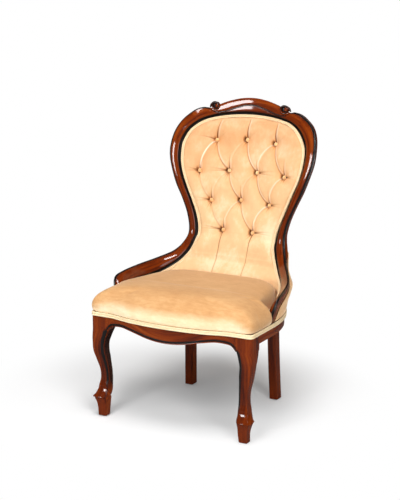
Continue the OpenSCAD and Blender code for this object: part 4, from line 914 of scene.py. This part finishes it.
def tufting(x, z):
    """How deep buttons and folds draw the padding in, its fine relief, and where painted shade lies
    in its creases and a painted highlight along its ridges."""
    dip, crease, fine, fold, ridge_highlight = (np.zeros_like(x) for _ in range(5))
    for b in buttons:
        strength = 0.45 if b[0] < -60 else 1.0
        r = np.hypot(x - b[0], z - b[1])
        pit = np.exp(-np.hypot((x - b[0] + 7.5) / 5.5, (z - b[1] - 0.5) / 10.5) ** 4)
        dip = np.maximum(dip, np.maximum(np.exp(-r / 15.0), 1.02 * pit * (r < 30)))
        fold = np.maximum(fold, strength * np.maximum(0.8 * np.exp(-(r / 8.2) ** 6), pit))
    for line, kind in folds_made:
        if x.max() < line[:, 0].min() - 60 or z.min() > line[:, 1].max() + 60 or z.max() < line[:, 1].min() - 60:
            continue
        share, d = nearest(x, z, line)
        mid_x, mid_z = line.mean(0)
        ends = np.maximum(np.exp(-share * 6), np.exp(-(1 - share) * 6))
        between = 1 - ends
        if kind == "sharp":
            vigour = 0.16 if mid_x < -70 and mid_z < height(0.5) else 0.75 + 0.2 * sin(mid_x * 3.1 + mid_z)
            brown = vigour * (0.35 + 0.3 * (1 - share))
            crease = np.maximum(crease, (0.2 + 0.3 * vigour) * fall(d, 7.0, 20.0))
            fine = fine - 2.4 * vigour * between * hill(d - 5, 3.0)
            fold = np.maximum(fold, (brown + (0.9 - brown) * ends ** 1.5) * hill(d, 1.3 + 1.6 * ends))
            ridge_highlight = np.maximum(ridge_highlight, 0.45 * vigour * between * hill(d - 5.5, 2.6))
            if mid_x > 0 and mid_z > height(0.35):
                fold = np.maximum(fold, 0.34 * between * hill(d - 9.5, 1.8))
        elif kind == "soft":
            vigour = 0.85 if mid_x < -100 else 0.12 + 0.3 * (mid_x > 50) + 0.2 * (mid_z < height(0.3))
            crease = np.maximum(crease, (0.2 + 0.22 * vigour) * fall(d - 3, 19.0, 9.0))
            fine = fine - 2.2 * vigour * between * hill(d + 1, 3.4)
            fold = np.maximum(fold, 0.5 * ends * hill(d - 2, 1.8))
            ridge_highlight = np.maximum(ridge_highlight, vigour * between * hill(d + 1.5, 2.2))
        elif kind in ("rim", "spike"):
            fade = (1 - share) ** (0.8 if kind == "rim" else 1.0)
            crease = np.maximum(crease, 0.36 * fade * fall(d, 8.0, 13.0))
            fine = fine + 3.0 * fade * hill(d, 1.4 + 2.4 * fade)
            fold = np.maximum(fold, np.minimum(1, 1.25 * fade) * hill(d, 0.7 + 3.0 * fade ** 3))
            ridge_highlight = np.maximum(ridge_highlight, 0.5 * fade * (1 - fade ** 6) * hill(d - 6, 2.6))
        elif kind == "seat":
            crease = np.maximum(crease, 0.16 * fall(d, 5.0, 8.0))
            fine = fine + 1.6 * hill(d, 1.6) - 1.0 * hill(d - 4, 2.5)
            fold = np.maximum(fold, (0.6 + 0.35 * ends) * hill(d, 1.8))
        else:
            taper = (1 - share) ** 1.3
            fine = fine + kind * taper * hill(d, 2.4)
            fold = np.maximum(fold, np.minimum(1, 0.5 * kind * taper ** 1.5) * hill(d, 1.2 + 0.9 * taper))
    return dip + crease * (1 - dip), np.clip(fine, -3, 6), np.clip(fold, 0, 1), np.clip(ridge_highlight, 0, 1)


def fullness(z):
    return np.clip((share_of(z) + 0.2) / 0.35, 0.1, 1)


def pad_thickness(z, share):
    return PAD_EDGE_T + fullness(z) * (PAD_T - PAD_EDGE_T) * (1 - np.abs(share) ** 3)


def spread(t, low):
    """The columns of a row, drawn towards its ends down in the tub."""
    power = 2.5 if share_of(low) < 0 else max(1, 2.5 - share_of(low) * 12)
    return np.sign(t) * (1 - (1 - np.abs(t)) ** power)


def arched(low):
    """How far a row has bent up towards the line of the crest."""
    start = height(0.25)
    return max(0, (min(low, shoulder_z) - start) / (shoulder_z - start)) ** 1.5


COLS = 320
LOW_Z = 342.0
t, back_t = np.linspace(-1, 1, COLS + 1), np.linspace(1, -1, 13)
top_line = pad_line[FRAME_END:SHOULDER - 1:-1]


def pad_row(i, t):
    """Where a row of the padding lies on the hollow of the back."""
    low = max(np.interp(i, np.arange(len(lower_edge)), lower_edge[:, 2]), LOW_Z)
    top_z = np.interp(np.abs(t) * edge_x(shoulder_z), top_line[:, 0], top_line[:, 2])
    x, z = edge_x(low) * spread(t, low), low + (top_z - shoulder_z) * arched(low)
    return x, z, np.stack([x, hollow_y(x, z), z], 1), hollow_normal(x, z)


rings, tones = [], {"fold": [], "shade": [], "shaded_top": [], "ridge_highlight": []}
for i in np.concatenate([np.arange(0, SHOULDER, 0.36), [SHOULDER]]):
    x, z, on, normal = pad_row(i, t)
    depth, fine, fold, ridge_highlight = tufting(x, z)
    rim = (1 - np.abs(t) ** 6) * (1 - (i / SHOULDER) ** 22)
    inside_rim = np.minimum(1, rim * 3)
    out = np.maximum(0.25, fullness(z)) * PAD_SWELL * rim ** 0.55 - (depth * TUFT + fine) * np.minimum(1, rim * 2)
    # painted tones: shade in creases and pits, orange shade deep in the dips, shade towards the top, highlights along
    # the ridges
    for tone, values in (("fold", fold * inside_rim), ("shade", np.clip(depth - 0.2, 0, 0.62) * inside_rim),
                         ("shaded_top", smooth(z, 560, 900)), ("ridge_highlight", ridge_highlight * inside_rim)):
        tones[tone].append(np.concatenate([values, np.zeros(len(back_t))]))
    x, z, behind, away = pad_row(i, back_t)
    rings.append(np.concatenate([on - normal * out[:, None], behind + away * pad_thickness(z, back_t)[:, None]]))
pad = loft("buttoned_back_pad", rings, back_velvet, tones, caps="face", crease_deg=0)
finish_piece(pad, "velvet", "back_cushion")


# ---------------------------------------------------------------- what repeats or follows a path
def grow(source, tree_name, sizes, build, material):
    """Runs a geometry tree with named sizes on an object, and keeps what it makes as a plain mesh."""
    tree = bpy.data.node_groups.new(tree_name, "GeometryNodeTree")
    for way in ("INPUT", "OUTPUT"):
        tree.interface.new_socket("Geometry", in_out=way, socket_type="NodeSocketGeometry")
    inputs = {size: tree.interface.new_socket(size, in_out="INPUT", socket_type="NodeSocketFloat").identifier
              for size in sizes}
    real = put(tree, "GeometryNodeRealizeInstances", {"Geometry": build(tree, put(tree, "NodeGroupInput"))})
    smoothed = put(tree, "GeometryNodeSetShadeSmooth", {"Geometry": real})
    dressed = put(tree, "GeometryNodeSetMaterial", {"Geometry": smoothed, "Material": material})
    put(tree, "NodeGroupOutput", {"Geometry": dressed})
    modifier = source.modifiers.new(tree_name, "NODES")
    modifier.node_group = tree
    for size, value in sizes.items():
        modifier[inputs[size]] = value
    mesh, name = evaluated_mesh(source), source.name
    bpy.data.objects.remove(source)
    mesh.name = name
    return hang(bpy.data.objects.new(name, mesh))


def piping_tree(tree, given):
    circle = put(tree, "GeometryNodeCurvePrimitiveCircle", {"Resolution": 12, "Radius": given.outputs["Cord radius"]})
    return put(tree, "GeometryNodeCurveToMesh", {"Curve": given, "Profile Curve": circle, "Fill Caps": True})


def piping(name, lines, radius_mm, cloth, closed=False):
    """Covered cords, one along each line of drawing points."""
    data = bpy.data.curves.new(name, "CURVE")
    data.dimensions = "3D"
    for points in lines:
        line = data.splines.new("POLY")
        line.points.add(len(points) - 1)
        line.points.foreach_set("co", np.concatenate([placed(points), np.ones((len(points), 1))], 1).ravel())
        line.use_cyclic_u = closed
    return grow(hang(bpy.data.objects.new(name, data)), name + "_tree", {"Cord radius": radius_mm * MM},
                piping_tree, cloth)


def frame_path(offset, sink, first):
    half = inner[first:] - across[first:] * offset - face[first:] * (COVE / 2 - sink)
    return np.concatenate([half, half[-2::-1] * [-1, 1, 1]])


BACK_CORD_R, SEAT_CORD_R, CORD_START = 2.4, 3.4, 6
back_lines = [frame_path(offset, sink, CORD_START) for offset, sink in ((2.6, 0.6), (7.3, 0.8))]
finish_piece(piping("double_back_piping", back_lines, BACK_CORD_R, back_cord), "piping", "back_piping")
corner = [[HALF_W - BLOCK_W / 8, BLOCK_FRONT], [HALF_W - 2, BLOCK_FRONT + 2], [HALF_W, BLOCK_FRONT + BLOCK_W / 8],
          [HALF_W, BLOCK_BACK]]
seat_round = whole(np.concatenate([spline(bow, 6), corner, outer_line[::-1]]))
way = unit(np.roll(seat_round, -1, 0) - np.roll(seat_round, 1, 0))
outward = np.stack([way[:, 1], -way[:, 0]], 1)
# two cords and the flat between them: height, and distance out from the rails
seat_lines = [np.insert(seat_round + outward * off, 2, z, axis=1)
              for z, off in ((332.3, 3.6), (325.9, 3.2), (329.1, 1.6))]
finish_piece(piping("double_seat_piping", seat_lines, SEAT_CORD_R, cord_cotton, closed=True), "piping", "seat_piping")


def button_tree(tree, given):
    radius = given.outputs["Button radius"]
    dome = put(tree, "GeometryNodeMeshUVSphere", {"Segments": 28, "Rings": 14, "Radius": radius})
    flat = put(tree, "GeometryNodeTransform", {"Geometry": dome, "Scale": (1.0, 1.0, 0.62)})
    outward = put(tree, "GeometryNodeInputNamedAttribute", {"Name": "outward"}, data_type="FLOAT_VECTOR")
    turn = put(tree, "FunctionNodeAlignRotationToVector", {"Vector": outward}, axis="Z")
    return put(tree, "GeometryNodeInstanceOnPoints", {"Points": given, "Instance": flat, "Rotation": turn})


BUTTON_PROUD = 3.0
bx, bz = buttons.T
facing = -hollow_normal(bx, bz)
seats = np.stack([bx, hollow_y(bx, bz), bz], 1) + facing * (PAD_SWELL - TUFT + BUTTON_PROUD)
spots = bpy.data.meshes.new("buttons")
spots.from_pydata(placed(seats).tolist(), [], [])
spots.attributes.new("outward", "FLOAT_VECTOR", "POINT").data.foreach_set("vector", facing.astype(np.float32).ravel())
made = grow(hang(bpy.data.objects.new("velvet_buttons", spots)), "button_tree", {"Button radius": BUTTON_R * MM},
            button_tree, shaded_button_velvet)
finish_piece(made, "velvet", "back_buttons")

# ---------------------------------------------------------------- outside cover
COVER_LOW = RAIL_TOP + WELT_H * 0.4 + GAP * 2
foot_lean = (outer_back[8][1] - outer_back[0][1]) / (outer_back[8][2] - outer_back[0][2])
BACK_ROOM = max(WOOD_T, PAD_T + 4.5) + GAP
TUB_TOP = float(height(0.06))
FRAME_BACK = plan_rows[0][1] * SEAT_D
COVER_COLS, TOP_MARGIN, NEAR_FRAME, COVER_OUT = 96, 9.0, 0.2, 2.0
cover_turn_table = np.array(cover_turn_rows)
waist_back = float(back_mid_y(TUB_TOP)) + BACK_ROOM
crest_top = outer[FRAME_END:SHOULDER:-1]
inward = unit(inner_back - outer_back)


def cover_mid_y(z):
    s = (z - RAIL_TOP) / (TUB_TOP - RAIL_TOP)
    below = (FRAME_BACK + WELT_T / 3) * (1 - s) + waist_back * s
    return np.where(share_of(z) > 0.06, back_mid_y(z) + BACK_ROOM, below)


def cover_turn(s, z):
    """How far a row has turned forward at a share of its width: like the seat's plan down at the rails."""
    low = min(1, max(0, (WAIST - z) / (WAIST - RAIL_TOP)))
    seat_like = (FRAME_BACK - plan_y(np.minimum(np.abs(s), 1) * HALF_W)) / (FRAME_BACK - frame_turn_y)
    power = float(np.interp(share_of(z), cover_turn_table[:, 0], cover_turn_table[:, 1]))
    return low * seat_like + (1 - low) * np.abs(s) ** power


t = np.linspace(-1, 1, COVER_COLS + 1)
inside, outside = [], []
for i in range(0, SHOULDER + 1, 2):
    e = outer_back[i] + [0, GAP * 3 + (foot_lean * (COVER_LOW - RAIL_TOP) if i == 0 else 0), 0]
    e = e + ([0, 0, -GAP * 3] if i < SWEEP_END else inward[i] * WOOD_T / 3 * min(1, (i - SWEEP_END) / 8))
    low = max(e[2], COVER_LOW)
    s = spread(t, low)
    x = e[0] * s
    rise = (outer[FRAME_END][2] - outer[SHOULDER][2] - WOOD_T * 0.6) * arched(low) * (1 - np.abs(t) ** 3)
    z = low + rise * (i > SWEEP_END)
    drop = float(cover_mid_y(low)) - e[1]
    y = cover_mid_y(z) - drop * cover_turn(s, low)
    slope = drop * (cover_turn(np.abs(s) + 0.004, low) - cover_turn(np.abs(s) - 0.004, low)) / (0.008 * e[0])
    away = unit(np.stack([np.sign(t) * slope, np.ones_like(t), np.zeros_like(t)], 1))
    on = np.stack([x, y, np.minimum(z, np.interp(np.abs(x), crest_top[:, 0], crest_top[:, 2]) - TOP_MARGIN)], 1)
    inside.append(on + away * NEAR_FRAME)
    outside.append(on + away * COVER_OUT)
inside, outside = np.array(inside), np.array(outside)
rings = np.concatenate([outside, inside[:, ::-1]], 1)
cover = loft("outside_back_panel", rings, cover_velvet, caps="rungs", crease_deg=0)
finish_piece(cover, "velvet", "outside_back_cover")

# ---------------------------------------------------------------- webbing, deck and dust cover
OVERRUN, WEB_W, WEB_T, WEB_HOLD, DECK_T, DUST_T = 1.0, 50.0, 1.5, 14.4, 3.0, 1.0
WEAVE = 0.7
WEB_EDGES = ((-1, -1), (-0.84, -1), (0, -1), (0.84, -1), (1, -1), (1, 1), (0.84, 1), (0, 1), (-0.84, 1), (-1, 1))
long_at = np.array([-2, -1, 0, 1, 2]) / 3 * HALF_W
cross_at = np.array([0.16, 0.44, 0.6, 0.76]) * SEAT_D


def strap(path, across_way, face_way):
    """A flat strap of webbing along a path."""
    sections = np.broadcast_to(across_way, path.shape), np.broadcast_to(face_way, path.shape)
    rings = [[p + a * u * WEB_W / 2 + f * v * WEB_T / 2 for u, v in WEB_EDGES] for p, a, f in zip(path, *sections)]
    return loft("strap", rings, jute, caps="face")


def woven(at, crossings, first):
    """Height of a strap that goes over one crossing and under the next, and lies down at its ends."""
    wave = first * np.cos(pi * np.interp(at, crossings, np.arange(len(crossings))))
    held = smooth(np.minimum(at - at[0], at[-1] - at), 10, 40)
    return RAIL_TOP + WEB_T + WEAVE * (wave * held - (1 - held))


straps = []
for k, x in enumerate(long_at):
    far_x = abs(x) + WEB_W / 2
    last = min(float(plan_y(far_x, inner_line)), float(plan_y(0, inner_line))) + WEB_HOLD
    y = np.linspace(float(bow_y(far_x)) + FRONT_T - WEB_HOLD, last, 60)
    straps.append(strap(np.stack([np.full_like(y, x), y, woven(y, cross_at, (-1) ** k)], 1), (1, 0, 0), (0, 0, 1)))
for k, y in enumerate(cross_at):
    reach = float(np.interp(-(y + WEB_W / 2), -inner_line[:, 1], inner_line[:, 0])) + WEB_HOLD
    x = np.linspace(-reach, reach, 80)
    straps.append(strap(np.stack([x, np.full_like(x, y), woven(x, long_at, -(-1) ** k)], 1), (0, 1, 0), (0, 0, 1)))
finish_piece(join("woven_seat_webbing", straps), "jute", "seat_webbing")
straps = []
for share in (0.18, 0.34, 0.5, 0.66):
    z = float(height(share))
    x = np.linspace(-1, 1, 61) * edge_x(z)
    z = np.full_like(x, z)
    normal = hollow_normal(x, z)
    behind = pad_thickness(z, x / edge_x(z)) + GAP + WEB_T / 2
    on = np.stack([x, hollow_y(x, z), z], 1) + normal * behind[:, None]
    slope = np.stack([0 * x, hollow_y(x, z + 0.5) - hollow_y(x, z - 0.5), np.ones_like(x)], 1)
    straps.append(strap(on, unit(slope), normal))
finish_piece(join("stretched_back_webbing", straps), "jute", "back_webbing")


def flat_sheet(name, half, low, thick, material, slot, node):
    """A flat sheet cut to half an outline and its mirror image."""
    half = np.array(half)
    outline = np.concatenate([half, (half * [-1, 1])[half[:, 0] > 0.5][::-1]])
    rings = [np.insert(outline, 2, z, axis=1) for z in (low, low + thick)]
    sheet = finish_piece(loft(name, rings, material, caps="face"), slot, node)


SWEEP_IN = float(inner[0][0]) - OVERRUN
deck_back = HEAD_Y - REAR_D / 2 - OVERRUN
bow_x = np.array(bow_rows)[:, 0]
deck_half = [[x, float(bow_y(min(x, RAIL_IN_X))) + RAIL_T / 3] for x in bow_x * SWEEP_IN]
deck_half += [[SWEEP_IN * s, deck_back - (deck_back - frame_turn_y) * s ** 6.5]
              for s in 1 - (np.arange(1, 13) / 12) ** 2]
flat_sheet("hessian_deck", deck_half, RAIL_TOP + WEB_T * 2, DECK_T, hessian, "jute", "seat_deck")
margin = RAIL_T / 4
edge_line = plan_line(margin)
leg_out, leg_in = HEAD_X + REAR_W / 2 + OVERRUN, HEAD_X - REAR_W / 2 - OVERRUN
notch_front = HEAD_Y - REAR_D / 2 - OVERRUN
dust_half = [[x, float(bow_y(x)) + FRONT_T + GAP] for x in bow_x * (RAIL_IN_X - OVERRUN)]
dust_half += [[RAIL_IN_X - OVERRUN, BLOCK_BACK + OVERRUN], [HALF_W - margin, BLOCK_BACK + OVERRUN]]
dust_half += [list(p) for p in edge_line[::-1] if p[0] > leg_out]
dust_half += [[leg_out, float(plan_y(leg_out, edge_line))], [leg_out, notch_front], [leg_in, notch_front],
              [leg_in, float(plan_y(leg_in, edge_line))]]
dust_half += [list(p) for p in edge_line[::-1] if p[0] < leg_in]
flat_sheet("black_dust_cover", dust_half, RAIL_LOW - GAP - DUST_T, DUST_T, dust_cloth, "dust_cloth", "dust_cover")

# ---------------------------------------------------------------- hidden solids kept as they are
for material, names in (
        (stained, "back_seat_rail"),
        (beech, "corner_block_front_left corner_block_front_right corner_block_rear_left corner_block_rear_right "
                "seat_frame_dowels back_frame_dowels back_tacking_rail"),
        (steel, "corner_block_screws glide_front_left glide_front_right glide_rear_left glide_rear_right")):
    for node in names.split():
        for material_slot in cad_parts[node].material_slots:
            material_slot.material = material

# ---------------------------------------------------------------- floor and light
FLOOR_HALF = 9
# The shadow under the chair: its middle, where it starts to fade and is gone, and how much paper
# white lies over it; then how much of the floor's gloss is taken off the polish
SHADOW_CENTRE, SHADOW_NEAR, SHADOW_FAR, SHADOW_LIFT = (-0.15, 0.05, 0), 0.26, 0.7, 0.1
FLOOR_DAMP = 0.82
floor_mesh = bpy.data.meshes.new("floor")
floor_mesh.from_pydata([(x * FLOOR_HALF, y * FLOOR_HALF, 0) for x, y in ((-1, -1), (1, -1), (1, 1), (-1, 1))], [],
                       [(0, 1, 2, 3)])
floor = hang(bpy.data.objects.new("floor", floor_mesh))
# White paper: away from the chair the camera sees it as pure white, and gloss hardly sees it
floor_material, tree, shader = new_material("white_paper_floor", {
    "Base Color": (0.95, 0.95, 0.95, 1), "Roughness": 1.0, "Specular IOR Level": 0.0})
rays = put(tree, "LightPath").outputs
far = put(tree, "VectorMath", {0: put(tree, "TexCoord").outputs["Object"], 1: SHADOW_CENTRE},
          operation="DISTANCE").outputs["Value"]
faded = put(tree, "MapRange", {"Value": far, "From Min": SHADOW_NEAR, "From Max": SHADOW_FAR},
            interpolation_type="SMOOTHSTEP")
lifted = put(tree, "MapRange", {"Value": faded, "To Min": SHADOW_LIFT, "To Max": 1.0})
white_far = put(tree, "Math", {0: lifted, 1: rays["Is Camera Ray"]}, operation="MULTIPLY")
paper_white = put(tree, "Emission", {"Color": (1, 1, 1, 1), "Strength": 1.0})
paper = put(tree, "MixShader", {0: white_far, 1: shader, 2: paper_white})
damped = put(tree, "Math", {0: rays["Is Glossy Ray"], 1: FLOOR_DAMP}, operation="MULTIPLY")
shown = put(tree, "MixShader", {0: damped, 1: paper, 2: put(tree, "Emission", {"Strength": 0.0})})
wire(tree, tree.nodes["Material Output"], {"Surface": shown})
floor_mesh.materials.append(floor_material)

# Each light's place, aim, size and power. The keys and fills light the surfaces, the shines only gloss.
for name, at, aim, size, power in (
        ("key_left", (0.1, -2.75, 2.35), (0, 0.1, 0.4), (1.2, 1.2), 49),
        ("key_right", (2.1, -2.0, 2.35), (0, 0.1, 0.4), (1.2, 1.2), 44),
        ("overhead", (0.35, -0.8, 3.2), (0, 0, 0.3), (1.4, 1.4), 44),
        ("low_left", (-1.2, -2.5, 0.6), (0, 0, 0.3), (1.0, 0.8), 8),
        ("shine_left", (-1.25, -2.95, 1.75), (0, 0.3, 0.7), (0.8, 1.4), 90),
        ("shine_top", (1.3, -0.75, 2.5), (0.1, 0.2, 0.4), (0.6, 0.5), 26),
        ("shine_right", (2.9, -1.0, 1.2), (0, 0.2, 0.6), (1.8, 1.6), 28)):
    data = bpy.data.lights.new(name, "AREA")
    data.shape = "RECTANGLE"
    data.size, data.size_y = size
    data.energy = power
    lamp = hang(bpy.data.objects.new(name, data))
    lamp.location = at
    x, y, z = np.array(at) - np.array(aim)
    lamp.rotation_euler = (atan2(hypot(x, y), z), 0, atan2(x, -y))
    lamp.visible_glossy = name.startswith("shine")
    lamp.visible_diffuse = not lamp.visible_glossy
world = bpy.data.worlds.new("studio")
bpy.context.scene.world = world
world.use_nodes = True
tree = world.node_tree
tree.nodes.clear()
rays = put(tree, "LightPath").outputs
# what gloss, the surfaces and the camera see of the room
dim, soft, white = (put(tree, "Background", {"Color": (1, 1, 1, 1), "Strength": power}) for power in (0.03, 0.24, 1.0))
shone = put(tree, "MixShader", {0: rays["Is Glossy Ray"], 1: soft, 2: dim})
chosen = put(tree, "MixShader", {0: rays["Is Camera Ray"], 1: shone, 2: white})
put(tree, "OutputWorld", {"Surface": chosen})
